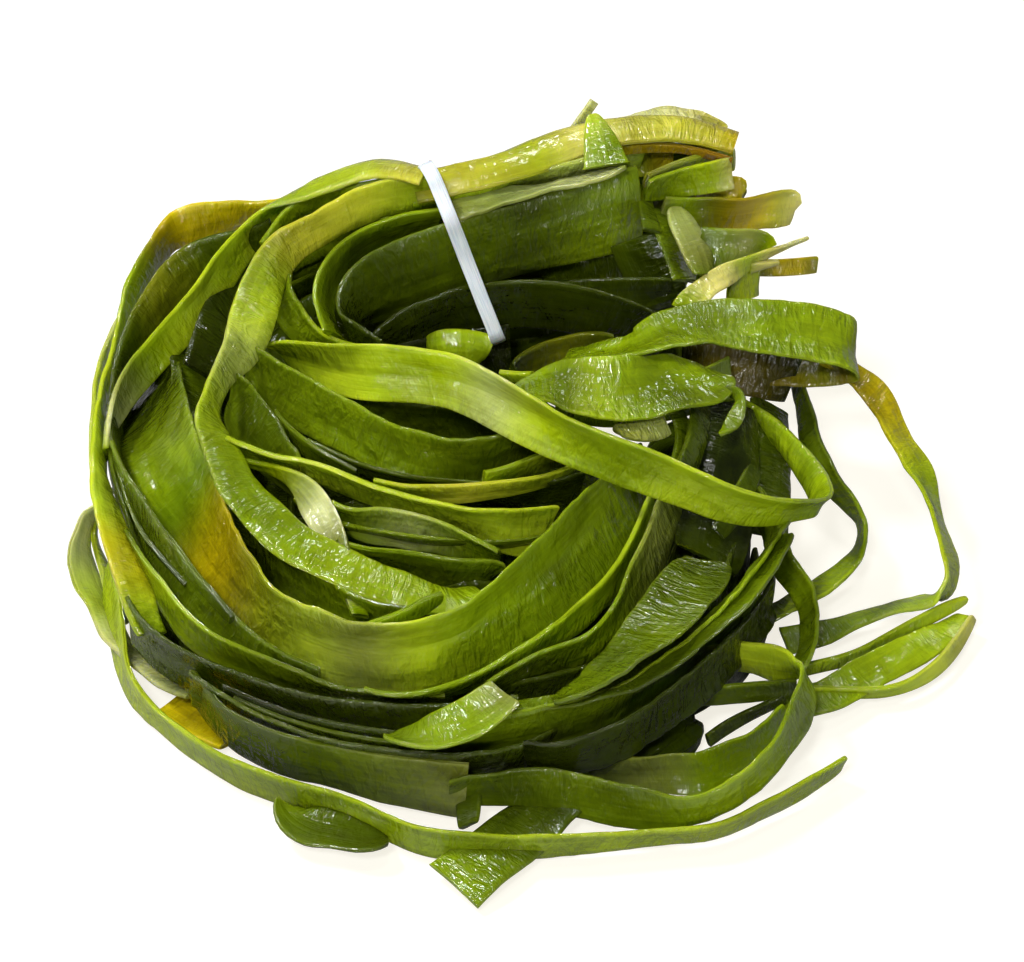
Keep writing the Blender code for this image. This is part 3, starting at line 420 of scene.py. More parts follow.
looseEnds = {
    "curlLoop": (9, "moss deep moss deep leaf spring leaf moss leaf spring lime lime leaf", "wavy", [
        (-15, -61, 9, 20), (-2, -60, 9, 0), (5, -61, 9, -15), (13, -63, 9, -15), (20, -65, 9, -10),
        (28, -66.5, 10, 5, 8), (35, -64, 11, 0, 8), (40.5, -59, 12, -5, 8), (45, -53, 13, -15, 7.5),
        (48, -47, 14, -20, 8), (50, -41, 15, -20, 8), (49, -37, 15, -25, 8), (45, -37, 15, 0),
        (40, -34, 14, -5, 8), (34, -33, 13, -10, 8), (24, -36, 12, 5, 8)]),
    "innerCrumple": (8, "moss sage leaf moss leaf", "frill", [
        (8, -54, 6, 15), (17, -54, 6, 5), (26, -55, 7, -25), (31, -55, 7, -25), (36, -53, 8, -20),
        (41, -50, 9, -10), (47, -44, 11, 0)]),
    "darkStraight": (5, "deep deep moss dark", "flat", [
        (12, -42, 10, 25), (22, -40, 10, 15), (37, -39, 10, 0), (50, -38, 11, 10)]),
    "thinStem": (3, "deep dark", "stem", [
        (31, -47, 5, -10), (36, -43, 6, -10), (42, -40, 7, 5), (48, -37, 8, 0)]),
    "endThin": (3, "leaf spring lime", "stem", [
        (44, -32, 6, 5), (51, -28, 5, 0), (60, -25, 5, -5), (70, -18, 5, -10), (79, -12, 5, -10),
        (84, -9, 5, 10, 1.5)]),
    "endWide": (7, "moss leaf spring spring lime", "crisp", [
        (44, -38, 6, -85), (53, -36, 5, -85), (61, -30, 5, -75), (70, -24, 5, -80), (77, -18, 4, -95, 6),
        (83, -12, 4, -115, 3)]),
    "endSlim": (3, "spring lime cream", "stem", [
        (46, -34, 6, 10), (61, -33, 4, 10), (68, -32, 4, 5), (75, -27, 4, -30), (80, -20, 4, -30),
        (84, -13, 5, -35, 1.5)]),
}


rearSettings = {"seed": 11, "levels": 8, "lowest": 6, "spacing": 5.4}


def rearTurns():
    # strips stacked on edge along the outer side of the tied limb, from the left turn to the cut ends
    dice = Random(rearSettings["seed"])
    strips = {}
    for level in range(rearSettings["levels"]):
        height = rearSettings["lowest"] + rearSettings["spacing"] * level
        rise = level / (rearSettings["levels"] - 1)
        pinch = 5 * ((height - 26) / 26) ** 2    # the tie draws the stack in above and below its middle
        stations = []
        for x, y, z in ((-74 + 12 * rise, 2 + 30 * rise, 0.55 * height),
                        (-73 + 8 * rise, 24 + 12 * rise, 0.60 * height),
                        (-64 + 4 * rise, 42 + 5 * rise, 0.68 * height),
                        (-46, 55 + 2 * rise, 0.85 * height), (-22, 62 - pinch, height),
                        (-10, 62 - pinch, height), (6, 62 + 3 * rise - 0.4 * pinch, 0.97 * height + 1),
                        (26, 61 + 4 * rise, 0.88 * height),
                        (35 + dice.uniform(-5, 6), 59 + 5 * rise, 0.82 * height)):
            stations.append((x + dice.uniform(-1, 1), y + dice.uniform(-1.6, 0.8),
                             max(6, z + dice.uniform(-1.2, 1.2)), dice.uniform(-12, 10)))
        colour = dice.choice(("moss leaf moss", "leaf moss leaf", "deep moss deep", "olive moss leaf"))
        width = dice.uniform(10, 13)
        strips["rear%d" % level] = (width, colour, dice.choice(("flat", "crisp")), stations)
    return strips


limbSettings = {"seed": 12, "rows": 4, "layers": 3, "lowest": 9, "rowSpacing": 7, "inner": 47,
                "layerSpacing": 5}


def limbTurns():
    # strips inside the tied limb and along its inner side, which show at its cut end
    dice = Random(limbSettings["seed"])
    strips = {}
    for row in range(limbSettings["rows"]):
        for layer in range(limbSettings["layers"]):
            y = limbSettings["inner"] + limbSettings["layerSpacing"] * layer
            z = limbSettings["lowest"] + limbSettings["rowSpacing"] * row + dice.uniform(-1, 1)
            ends = 26 + dice.uniform(-5, 6)
            stations = [(-34, y - 2, z - 2, 0), (-18, y, z, dice.uniform(-8, 8)), (0, y + 1, z, 5),
                        (14, y + 1 + layer, z + 1, dice.uniform(-10, 20)),
                        (ends, y + 2 + 2 * layer, z + 2, dice.uniform(-20, 30))]
            # their dark colours are painted shade inside the limb
            colour = dice.choice(("dark deep dark", "deep dark moss", "dark dark deep"))
            strips["limb%d%d" % (row, layer)] = (dice.uniform(8, 11), colour, "flat", stations)
    return strips


bowlSettings = {"seed": 13, "levels": 3, "rings": 3, "middle": (-13, -4), "halfLength": 60, "halfDepth": 48,
                "stations": 13, "stationTurn": 17.5}


def bowlTurns():
    # turns that lie inside and under the visible ones, all round the skein
    dice = Random(bowlSettings["seed"])
    strips = {}
    for level in range(bowlSettings["levels"]):
        for ring in range(bowlSettings["rings"]):
            height = 6 + 4.2 * level + 1.4 * ring
            halfLength = bowlSettings["halfLength"] - 11 * ring - 4 * level
            halfDepth = bowlSettings["halfDepth"] - 10 * ring - 4 * level
            start = dice.uniform(150, 175)
            stations = []
            for step in range(bowlSettings["stations"]):
                angle = radians(start + step * bowlSettings["stationTurn"])
                stations.append((bowlSettings["middle"][0] + halfLength * cos(angle) + dice.uniform(-1, 1),
                                 bowlSettings["middle"][1] + halfDepth * sin(angle) + dice.uniform(-1, 1),
                                 height + dice.uniform(-1, 1), dice.uniform(-5, 25)))
            # their dark and black colours are painted shade inside the skein
            colour = dice.choice(("dark deep dark", "deep dark black", "black dark deep"))
            strips["bowl%d%d" % (level, ring)] = (dice.uniform(9, 12), colour, "flat", stations)
    return strips


def addNode(tree, kind, values=None, **settings):
    node = tree.nodes.new(kind)
    for key, value in settings.items():
        setattr(node, key, value)
    for key, value in (values or {}).items():
        socket = node.inputs[key]
        if isinstance(value, bpy.types.NodeSocket):
            tree.links.new(value, socket)
        else:
            socket.default_value = value
    return node


def maths(tree, operation, *terms):
    node = tree.nodes.new("ShaderNodeMath")
    node.operation = operation
    for socket, term in zip(node.inputs, terms):
        if isinstance(term, bpy.types.NodeSocket):
            tree.links.new(term, socket)
        else:
            socket.default_value = term
    return node.outputs[0]


def vectorMaths(tree, operation, *terms, output=0, scale=None):
    node = tree.nodes.new("ShaderNodeVectorMath")
    node.operation = operation
    for socket, term in zip(node.inputs, terms):
        if isinstance(term, bpy.types.NodeSocket):
            tree.links.new(term, socket)
        else:
            socket.default_value = term
    if scale is not None:
        if isinstance(scale, bpy.types.NodeSocket):
            tree.links.new(scale, node.inputs["Scale"])
        else:
            node.inputs["Scale"].default_value = scale
    return node.outputs[output]


# lengths in metres: the step along a strip, and of the waves of its edges and face
stripSettings = {"Step": 0.0012, "Sides": 28, "Edge Squareness": 4.0, "Smoothing": 6,
                 "Wave Length": 0.011, "Ripple Length": 0.0042, "Crumple Length": 0.0034, "Floor": 0.0003}


def makeStripTree():
    tree = bpy.data.node_groups.new("kelpStrips", "GeometryNodeTree")
    panel = tree.interface
    panel.new_socket("Geometry", in_out="INPUT", socket_type="NodeSocketGeometry")
    for name, value in stripSettings.items():
        kind = "NodeSocketInt" if isinstance(value, int) else "NodeSocketFloat"
        panel.new_socket(name, in_out="INPUT", socket_type=kind).default_value = value
    panel.new_socket("Material", in_out="INPUT", socket_type="NodeSocketMaterial")
    panel.new_socket("Geometry", in_out="OUTPUT", socket_type="NodeSocketGeometry")
    given = tree.nodes.new("NodeGroupInput").outputs

    def named(name, kind="FLOAT"):
        node = addNode(tree, "GeometryNodeInputNamedAttribute", {"Name": name}, data_type=kind)
        return node.outputs["Attribute"]

    def store(geometry, name, value, kind="FLOAT_VECTOR"):
        node = addNode(tree, "GeometryNodeStoreNamedAttribute",
                       {"Geometry": geometry, "Name": name}, data_type=kind, domain="POINT")
        tree.links.new(value, node.inputs["Value"])
        return node.outputs[0]

    # the middle lines: smooth curves cut into even steps
    line = addNode(tree, "GeometryNodeMeshToCurve", {"Mesh": given["Geometry"]}).outputs[0]
    line = addNode(tree, "GeometryNodeCurveSplineType", {"Curve": line},
                   spline_type="CATMULL_ROM").outputs[0]
    line = addNode(tree, "GeometryNodeResampleCurve", {"Curve": line, "Length": given["Step"]},
                   mode="LENGTH").outputs[0]
    place = tree.nodes.new("GeometryNodeInputPosition").outputs[0]
    softer = addNode(tree, "GeometryNodeBlurAttribute", {"Iterations": given["Smoothing"]},
                     data_type="FLOAT_VECTOR")
    tree.links.new(place, softer.inputs["Value"])
    line = addNode(tree, "GeometryNodeSetPosition", {"Geometry": line,
                                                     "Position": softer.outputs[0]}).outputs[0]
    line = store(line, "spot", place)
    line = store(line, "run", tree.nodes.new("GeometryNodeInputTangent").outputs[0])
    line = store(line, "reach", tree.nodes.new("GeometryNodeSplineParameter").outputs["Length"], "FLOAT")

    # a ring swept along them, whose place is then worked out from the strip's own directions
    ring = addNode(tree, "GeometryNodeCurvePrimitiveCircle", {"Resolution": given["Sides"], "Radius": 1.0})
    ring = store(ring.outputs["Curve"], "ring", place)
    swept = addNode(tree, "GeometryNodeCurveToMesh",
                    {"Curve": line, "Profile Curve": ring, "Fill Caps": True}).outputs[0]
    along = vectorMaths(tree, "NORMALIZE", named("run", "FLOAT_VECTOR"))
    across = named("across", "FLOAT_VECTOR")
    slip = vectorMaths(tree, "DOT_PRODUCT", across, along, output=1)
    across = vectorMaths(tree, "SUBTRACT", across, vectorMaths(tree, "SCALE", along, scale=slip))
    across = vectorMaths(tree, "NORMALIZE", across)
    outward = vectorMaths(tree, "CROSS_PRODUCT", along, across)
    parts = addNode(tree, "ShaderNodeSeparateXYZ", {0: named("ring", "FLOAT_VECTOR")}).outputs

    # round the ring, the points spread evenly over both faces and crowd a little at the rounded rims
    turn = maths(tree, "DIVIDE", maths(tree, "ARCCOSINE", parts["X"]), pi / 2)
    turn = maths(tree, "SUBTRACT", 1.0, turn)
    crowd = maths(tree, "MULTIPLY_ADD", maths(tree, "MULTIPLY", turn, turn), -0.5, 1.5)
    side = maths(tree, "MULTIPLY", turn, crowd)
    edge = maths(tree, "MINIMUM", maths(tree, "ABSOLUTE", side), 1.0)
    lift = maths(tree, "SUBTRACT", 1.0, maths(tree, "POWER", edge, given["Edge Squareness"]))
    lift = maths(tree, "POWER", lift, maths(tree, "DIVIDE", 1.0, given["Edge Squareness"]))
    face = maths(tree, "SIGN", parts["Y"])
    lift = maths(tree, "MULTIPLY", lift, face)
    halfWidth = maths(tree, "MULTIPLY", named("girth"), 0.5)
    halfThick = maths(tree, "MULTIPLY", named("thick"), 0.5)

    # uneven width, hollow face, waving edges, crumpled face
    def noise(xTerm, yTerm, zTerm, detail=1.0):
        spotIn = addNode(tree, "ShaderNodeCombineXYZ", {"X": xTerm, "Y": yTerm, "Z": zTerm}).outputs[0]
        node = addNode(tree, "ShaderNodeTexNoise", {"Vector": spotIn, "Scale": 1.0, "Detail": detail})
        return maths(tree, "MULTIPLY_ADD", node.outputs[0], 2.0, -1.0)

    reach = named("reach")
    seed = named("seed")
    waves = maths(tree, "DIVIDE", reach, given["Wave Length"])
    creases = maths(tree, "DIVIDE", reach, given["Crumple Length"])
    farSide = maths(tree, "MULTIPLY", maths(tree, "SIGN", side), 4.0)
    waveAt = noise(waves, farSide, seed)
    widthAt = noise(maths(tree, "MULTIPLY", waves, 0.6), farSide, maths(tree, "ADD", seed, 31.0), 3.0)
    sway = noise(maths(tree, "MULTIPLY", waves, 0.45), 0.0, maths(tree, "ADD", seed, 57.0))
    sideReach = maths(tree, "DIVIDE", maths(tree, "MULTIPLY", side, halfWidth), given["Crumple Length"])
    creaseAt = noise(creases, maths(tree, "MULTIPLY", sideReach, 0.5), maths(tree, "ADD", seed, 83.0), 2.0)
    hollow = maths(tree, "MULTIPLY", named("hollow"), named("girth"))
    hollow = maths(tree, "MULTIPLY", hollow, maths(tree, "ADD", 1.0, sway))
    bend = maths(tree, "MULTIPLY", hollow,
                 maths(tree, "SUBTRACT", maths(tree, "POWER", edge, 2.0), 0.35))
    bend = maths(tree, "ADD", bend, maths(tree, "MULTIPLY", maths(tree, "POWER", edge, 1.6),
                                          maths(tree, "MULTIPLY", waveAt, named("wave"))))
    ripples = maths(tree, "DIVIDE", reach, given["Ripple Length"])
    rippleAt = noise(ripples, farSide, maths(tree, "ADD", seed, 117.0), 2.0)
    bend = maths(tree, "ADD", bend, maths(tree, "MULTIPLY", maths(tree, "POWER", edge, 3.0),
                                          maths(tree, "MULTIPLY", rippleAt, named("ripple"))))
    bend = maths(tree, "ADD", bend, maths(tree, "MULTIPLY", creaseAt, named("crumple")))
    widthAt = maths(tree, "MULTIPLY_ADD", widthAt, 0.10, 1.0)
    sideways = maths(tree, "MULTIPLY", maths(tree, "MULTIPLY", side, halfWidth), widthAt)
    upward = maths(tree, "ADD", maths(tree, "MULTIPLY", lift, halfThick), bend)
    moved = vectorMaths(tree, "ADD", named("spot", "FLOAT_VECTOR"),
                        vectorMaths(tree, "SCALE", across, scale=sideways))
    moved = vectorMaths(tree, "ADD", moved, vectorMaths(tree, "SCALE", outward, scale=upward))
    axes = addNode(tree, "ShaderNodeSeparateXYZ", {0: moved}).outputs
    clear = maths(tree, "MAXIMUM", axes["Z"], given["Floor"])
    moved = addNode(tree, "ShaderNodeCombineXYZ", {"X": axes["X"], "Y": axes["Y"], "Z": clear}).outputs[0]
    faceSeed = maths(tree, "MULTIPLY_ADD", face, 0.4, seed)
    lay = addNode(tree, "ShaderNodeCombineXYZ", {"X": reach, "Y": sideways, "Z": faceSeed}).outputs[0]
    mesh = store(swept, "lay", lay)
    mesh = store(mesh, "rim", edge, "FLOAT")
    mesh = addNode(tree, "GeometryNodeSetPosition", {"Geometry": mesh, "Position": moved}).outputs[0]
    for name in ("spot", "run", "reach", "across", "ring", "girth", "thick", "hollow", "wave", "ripple",
                 "crumple", "seed"):
        mesh = addNode(tree, "GeometryNodeRemoveAttribute", {"Geometry": mesh, "Name": name}).outputs[0]
    mesh = addNode(tree, "GeometryNodeSetShadeSmooth", {"Geometry": mesh}).outputs[0]
    mesh = addNode(tree, "GeometryNodeRealizeInstances", {"Geometry": mesh}).outputs[0]
    mesh = addNode(tree, "GeometryNodeSetMaterial", {"Geometry": mesh,
                                                     "Material": given["Material"]}).outputs[0]
    result = tree.nodes.new("NodeGroupOutput")
    tree.links.new(mesh, result.inputs[0])
    return tree


def acrossAt(places, index, lean, upright):
    # the direction of a strip's width at one station
    ahead = places[min(index + 1, len(places) - 1)]
    behind = places[max(index - 1, 0)]
    along = (ahead - behind).normalized()
    sideways = along.cross(upright).normalized()
    upwards = sideways.cross(along)
    return upwards * cos(radians(lean)) + sideways * sin(radians(lean))


def tintAt(words, share):
    # the colour at a share of the strip's length, between the colours named along it
    colours = [kelpColours[word] for word in words.split()]
    place = share * (len(colours) - 1)
    index = min(int(place), max(0, len(colours) - 2))
    after = colours[min(index + 1, len(colours) - 1)]
    return tuple(a + (b - a) * (place - index) for a, b in zip(colours[index], after))


def stripObject(name, strips, tree, material, firstSeed):
    verts, edges, rows = [], [], []
    for number, strip in enumerate(strips.values()):
        width, colour, formName, stations = strip[:4]
        upright = Vector(strip[4]) if len(strip) > 4 else Vector((0, 0, 1))
        form = kelpForms[formName]
        places = [metres(s[:3]) for s in stations]
        start = len(verts)
        for i, station in enumerate(stations):
            girth = (station[4] if len(station) > 4 else width) * mm
            narrow = min(1.0, girth / (7 * mm))
            rows.append({
                "across": acrossAt(places, i, station[3], upright), "girth": girth,
                "thick": form["thick"] * mm * (0.6 + 0.4 * narrow), "hollow": form["hollow"],
                "wave": form["wave"] * mm * narrow, "ripple": form["ripple"] * mm * narrow,
                "crumple": form["crumple"] * mm * narrow, "seed": firstSeed + number * 7.3,
                "tint": tintAt(colour, i / (len(stations) - 1))})
        verts.extend(places)
        edges.extend((start + i, start + i + 1) for i in range(len(places) - 1))
    mesh = bpy.data.meshes.new(name)
    mesh.from_pydata(verts, edges, [])
    for key in ("across", "tint"):
        layer = mesh.attributes.new(key, "FLOAT_VECTOR", "POINT")
        layer.data.foreach_set("vector", [v for row in rows for v in row[key]])
    for key in ("girth", "thick", "hollow", "wave", "ripple", "crumple", "seed"):
        layer = mesh.attributes.new(key, "FLOAT", "POINT")
        layer.data.foreach_set("value", [row[key] for row in rows])
    routes = bpy.data.objects.new(name + "Routes", mesh)
    bpy.context.collection.objects.link(routes)
    mod = routes.modifiers.new("strips", "NODES")
    mod.node_group = tree
    inputs = {item.name: item.identifier for item in tree.interface.items_tree
              if item.item_type == "SOCKET" and item.in_out == "INPUT"}
    for key, value in stripSettings.items():
        mod[inputs[key]] = value
    mod[inputs["Material"]] = material
    bpy.context.view_layer.update()
    graph = bpy.context.evaluated_depsgraph_get()
    made = bpy.data.meshes.new_from_object(routes.evaluated_get(graph), depsgraph=graph)
    routes.modifiers.remove(mod)
    bpy.data.objects.remove(routes)
    bpy.data.meshes.remove(mesh)
    made.name = name
    piece = bpy.data.objects.new(name, made)
    bpy.context.collection.objects.link(piece)
    print(name, len(strips), "strips,", len(made.polygons), "faces")
    return piece


# the pressed strips inside, which show only as ridges in the gaps; their dark colour is painted shade
coreSettings = {"shrink": 4.0, "voxel": 1.6, "middle": (-16, 2, 0), "ridgeEvery": 4.2, "ridgeDeep": 0.9,
                "ridgeLean": 0.9, "lowest": 0.4, "colour": "dark"}
coreLumps = {
    "middle": ((-20, -8, 0), (54, 46, 25)),
    "hollow": ((-10, 28, 0), (30, 24, 22)),
    "leftLimb": ((-61, 12, 10), (16, 42, 20)),
    "backLimb": ((-12, 52, 20), (42, 9, 18)),
    "leftTurn": ((-45, 36, 18), (16, 14, 19)),
    "rightLimb": ((32, 10, 5), (15, 34, 13)),
    "front": ((0, -42, 3), (36, 16, 12)),
}


def coreObject(material):
    shape = bmesh.new()
    for centre, radii in coreLumps.values():
        made = bmesh.ops.create_icosphere(shape, subdivisions=4, radius=1.0)["verts"]
        for vert in made:
            place = [c + v * (r - coreSettings["shrink"]) for c, v, r in zip(centre, vert.co, radii)]
            place[2] = max(place[2], 1.0)
            vert.co = metres(place)
    mesh = bpy.data.meshes.new("core")
    shape.to_mesh(mesh)
    shape.free()
    core = bpy.data.objects.new("core", mesh)
    bpy.context.collection.objects.link(core)
    mod = core.modifiers.new("skin", "REMESH")
    mod.mode = "VOXEL"
    mod.voxel_size = coreSettings["voxel"] * mm
    bpy.context.view_layer.update()
    graph = bpy.context.evaluated_depsgraph_get()
    core.data = bpy.data.meshes.new_from_object(core.evaluated_get(graph), depsgraph=graph)
    core.modifiers.clear()
    mesh = core.data
    lay, tint, moved = [], [], []
    centre = metres(coreSettings["middle"])
    for vert in mesh.vertices:
        offset = vert.co - centre
        across = (offset.xy.length - vert.co.z * coreSettings["ridgeLean"]) / mm
        ridge = abs(sin(pi * across / coreSettings["ridgeEvery"])) ** 0.5
        turn = offset.xy.angle_signed(Vector((1, 0)), 0) * 0.05
        lay.extend((turn, across * mm, across // coreSettings["ridgeEvery"]))
        tint.extend(kelpColours[coreSettings["colour"]])
        moved.append(vert.co + vert.normal * (ridge - 0.5) * coreSettings["ridgeDeep"] * mm)
    for vert, place in zip(mesh.vertices, moved):
        vert.co = (place.x, place.y, max(place.z, coreSettings["lowest"] * mm))
    for key, values in (("lay", lay), ("tint", tint)):
        layer = mesh.attributes.new(key, "FLOAT_VECTOR", "POINT")
        layer.data.foreach_set("vector", values)
    mesh.materials.append(material)
    mesh.shade_smooth()
    print("core", len(mesh.polygons), "faces")
    return core


def groupSockets(tree, inputs, outputs):
    for name, kind, value in inputs:
        socket = tree.interface.new_socket(name, in_out="INPUT", socket_type="NodeSocket" + kind)
        if value is not None:
            socket.default_value = value
    for name, kind in outputs:
        tree.interface.new_socket(name, in_out="OUTPUT", socket_type="NodeSocket" + kind)
    return tree.nodes.new("NodeGroupInput").outputs, tree.nodes.new("NodeGroupOutput").inputs


def mixColours(tree, factor, first, second, blend="MIX"):
    node = addNode(tree, "ShaderNodeMix", data_type="RGBA", blend_type=blend)
    for socket, value in zip((node.inputs["Factor"], node.inputs[6], node.inputs[7]),
                             (factor, first, second)):
        if isinstance(value, bpy.types.NodeSocket):
            tree.links.new(value, socket)
        else:
            socket.default_value = value
    return node.outputs[2]


def mapRange(tree, value, low, high, toLow=0.0, toHigh=1.0):
    node = addNode(tree, "ShaderNodeMapRange", {"Value": value, "From Min": low, "From Max": high,
                                                "To Min": toLow, "To Max": toHigh})
    return node.outputs[0]


# patterns of the blade: steps per metre along and across the strip, detail, roughness, shift and twist
bladeGrains = {
    "fibres": (60, 1500, 3.0, 0.6, 0.0, 0.0),
    "ribs": (20, 420, 2.0, 0.5, 11.0, 0.0),
    "wrinkles": (460, 150, 3.0, 0.6, 23.0, 0.6),
    "creases": (300, 90, 2.0, 0.5, 97.0, 0.4),
    "blotches": (70, 130, 3.0, 0.6, 37.0, 0.0),
    "patches": (22, 60, 2.0, 0.5, 53.0, 0.0),
    "dents": (260, 200, 3.0, 0.55, 71.0, 0.0),
}
bladeTints = {
    "darker": (0.60, 0.58, 0.40, 1),
    "brighter": (1.42, 1.32, 1.25, 1),
    "golden": (1.45, 1.16, 0.50, 1),
    "pale": (1.9, 1.7, 1.6, 1),
}
# rimColour and the pale tint give the rims their paler look, partly the cut edge's own colour and partly
# painted light shining through the thin rim
rimColour = (0.60, 0.66, 0.20, 1)
bladeHeights = {"fibres": 0.22, "ribs": 0.40, "dents": 1.1, "wrinkles": 2.3, "folds": 0.22}
bladeGloss = {"wettest": 0.04, "driest": 0.10, "fibres": 0.04}


def makeBladeGroup():
    # the blade's colour, gloss and relief, laid along the strip in metres
    tree = bpy.data.node_groups.new("kelpBlade", "ShaderNodeTree")
    given, result = groupSockets(
        tree,
        [("Lay", "Vector", None), ("Tint", "Color", None), ("Rim", "Float", 0.0),
         ("Veins", "Float", 1.0), ("Mottle", "Float", 1.0), ("Rim Glow", "Float", 0.5)],
        [("Colour", "Color"), ("Roughness", "Float"), ("Height", "Float")])

    def grain(name):
        alongScale, acrossScale, detail, roughness, shift, twist = bladeGrains[name]
        stretched = vectorMaths(tree, "MULTIPLY", given["Lay"], (alongScale, acrossScale, 1.0))
        stretched = vectorMaths(tree, "ADD", stretched, (0.0, 0.0, shift))
        node = addNode(tree, "ShaderNodeTexNoise", {"Vector": stretched, "Scale": 1.0, "Detail": detail,
                                                    "Roughness": roughness, "Distortion": twist})
        return node.outputs["Fac"]

    def tinted(name):
        return mixColours(tree, 1.0, given["Tint"], bladeTints[name], "MULTIPLY")

    def over(colour, added, amount, mask):
        return mixColours(tree, maths(tree, "MULTIPLY", given[amount], mask), colour, added)

    grains = {name: grain(name) for name in bladeGrains}
    blotches, patches = grains["blotches"], grains["patches"]
    darker, brighter = tinted("darker"), tinted("brighter")
    colour = over(given["Tint"], darker, "Mottle", mapRange(tree, blotches, 0.42, 0.72))
    colour = over(colour, brighter, "Mottle", mapRange(tree, blotches, 0.5, 0.25, 0.0, 0.7))
    colour = over(colour, tinted("golden"), "Mottle", mapRange(tree, patches, 0.58, 0.8, 0.0, 0.3))
    colour = over(colour, brighter, "Veins", mapRange(tree, grains["fibres"], 0.45, 0.75, 0.0, 0.35))
    colour = over(colour, darker, "Veins", mapRange(tree, grains["ribs"], 0.5, 0.3, 0.0, 0.35))
    # the rims turn paler: partly the paler cut edge of the blade, partly painted light shining through the
    # thin rim
    rimTint = mixColours(tree, 0.10, tinted("pale"), rimColour)
    colour = over(colour, rimTint, "Rim Glow", mapRange(tree, given["Rim"], 0.84, 1.0))
    tree.links.new(colour, result["Colour"])
    rough = mapRange(tree, grains["dents"], 0.35, 0.65, bladeGloss["wettest"], bladeGloss["driest"])
    rough = maths(tree, "ADD", rough, mapRange(tree, grains["fibres"], 0.3, 0.8, 0.0, bladeGloss["fibres"]))
    tree.links.new(rough, result["Roughness"])

    # wrinkles and folds crowd in places and leave the rest of the face smooth
    crowded = mapRange(tree, patches, 0.38, 0.53, 0.08, 1.0)
    fold = maths(tree, "ABSOLUTE", maths(tree, "SUBTRACT", grains["creases"], 0.5))
    fold = mapRange(tree, fold, 0.0, 0.07, 1.0, 0.0)
    reliefs = {"fibres": grains["fibres"], "ribs": grains["ribs"], "dents": grains["dents"],
               "wrinkles": maths(tree, "MULTIPLY", grains["wrinkles"], crowded),
               "folds": maths(tree, "MULTIPLY", fold, crowded)}
    height = 0.0
    for name, relief in reliefs.items():
        height = maths(tree, "MULTIPLY_ADD", relief, bladeHeights[name], height)
    tree.links.new(height, result["Height"])
    return tree


def newMaterial(name):
    material = bpy.data.materials.new(name)
    material.use_nodes = True
    tree = material.node_tree
    return material, tree, tree.nodes["Principled BSDF"]


def attribute(tree, name, output="Vector"):
    return addNode(tree, "ShaderNodeAttribute", attribute_name=name).outputs[output]


reliefSettings = {"Strength": 0.8, "Distance": 0.0008}


def kelpMaterial(name, bladeGroup, bladeValues, shaderValues):
    material, tree, shader = newMaterial(name)
    blade = addNode(tree, "ShaderNodeGroup", node_tree=bladeGroup)
    tree.links.new(attribute(tree, "lay"), blade.inputs["Lay"])
    tree.links.new(attribute(tree, "tint", "Color"), blade.inputs["Tint"])
    tree.links.new(attribute(tree, "rim", "Fac"), blade.inputs["Rim"])
    for key, value in bladeValues.items():
        blade.inputs[key].default_value = value
    for key, value in shaderValues.items():
        shader.inputs[key].default_value = value
    bump = addNode(tree, "ShaderNodeBump", {"Height": blade.outputs["Height"], **reliefSettings})
    tree.links.new(blade.outputs["Colour"], shader.inputs["Base Color"])
    tree.links.new(blade.outputs["Roughness"], shader.inputs["Roughness"])
    tree.links.new(bump.outputs[0], shader.inputs["Normal"])
    return material


stripTree = makeStripTree()
bladeGroup = makeBladeGroup()
wetKelp = kelpMaterial("wetKelp", bladeGroup, {"Mottle": 1.0, "Rim Glow": 0.20},
                       {"Subsurface Weight": 0.5, "Subsurface Radius": (0.9, 1.0, 0.08),
                        "Subsurface Scale": 0.003, "Specular IOR Level": 0.8, "IOR": 1.45})
# deepKelp is the core's material; the dark tint it shows is painted shade of the gaps
deepKelp = kelpMaterial("deepKelp", bladeGroup, {"Mottle": 0.5, "Rim Glow": 0.0}, {"IOR": 1.25})

groups = {"frontTurns": frontTurns, "wideTurns": wideTurns, "innerStrips": innerStrips,
          "crossStrips": crossStrips, "leftTurns": leftTurns, "tiedLimb": tiedLimb, "cutEnds": cutEnds,
          "rightLoops": rightLoops, "looseEnds": looseEnds, "rearTurns": rearTurns(),
          "limbTurns": limbTurns(), "bowlTurns": bowlTurns()}
pieces = []
for number, (name, strips) in enumerate(groups.items()):
    piece = stripObject(name, strips, stripTree, wetKelp, 100.0 * number)
    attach(piece, "root")
    pieces.append(piece)
core = coreObject(deepKelp)
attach(core, "root")
pieces.append(core)
for piece in pieces:
    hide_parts("kelp_bundle")

# the narrow tie, a flat fibrous band pulled round the back limb
tieSettings = {"width": 2.8, "thick": 0.7, "step": 0.7, "round": 0.25}
tieRoute = [(-18.5, 48.5, 62.2), (-17.2, 45.9, 61.5), (-16.2, 44.4, 59.7), (-15.2, 42.6, 58),
            (-14.1, 40.7, 56), (-12.5, 39.7, 51.5), (-10.9, 38.6, 47), (-9.2, 36.7, 43), (-7.5, 34.7, 39),
            (-6.2, 33.3, 36), (-5.2, 32.6, 33.2), (-5, 35, 30.8), (-4.9, 38, 28), (-4.7, 44, 22.6),
            (-4.5, 50, 17), (-4.5, 56, 11.5), (-7, 63, 12), (-11, 66, 26), (-15, 64.5, 37),
            (-18, 61, 47), (-19, 57.5, 54), (-19, 54, 57.5), (-19, 51.5, 60)]


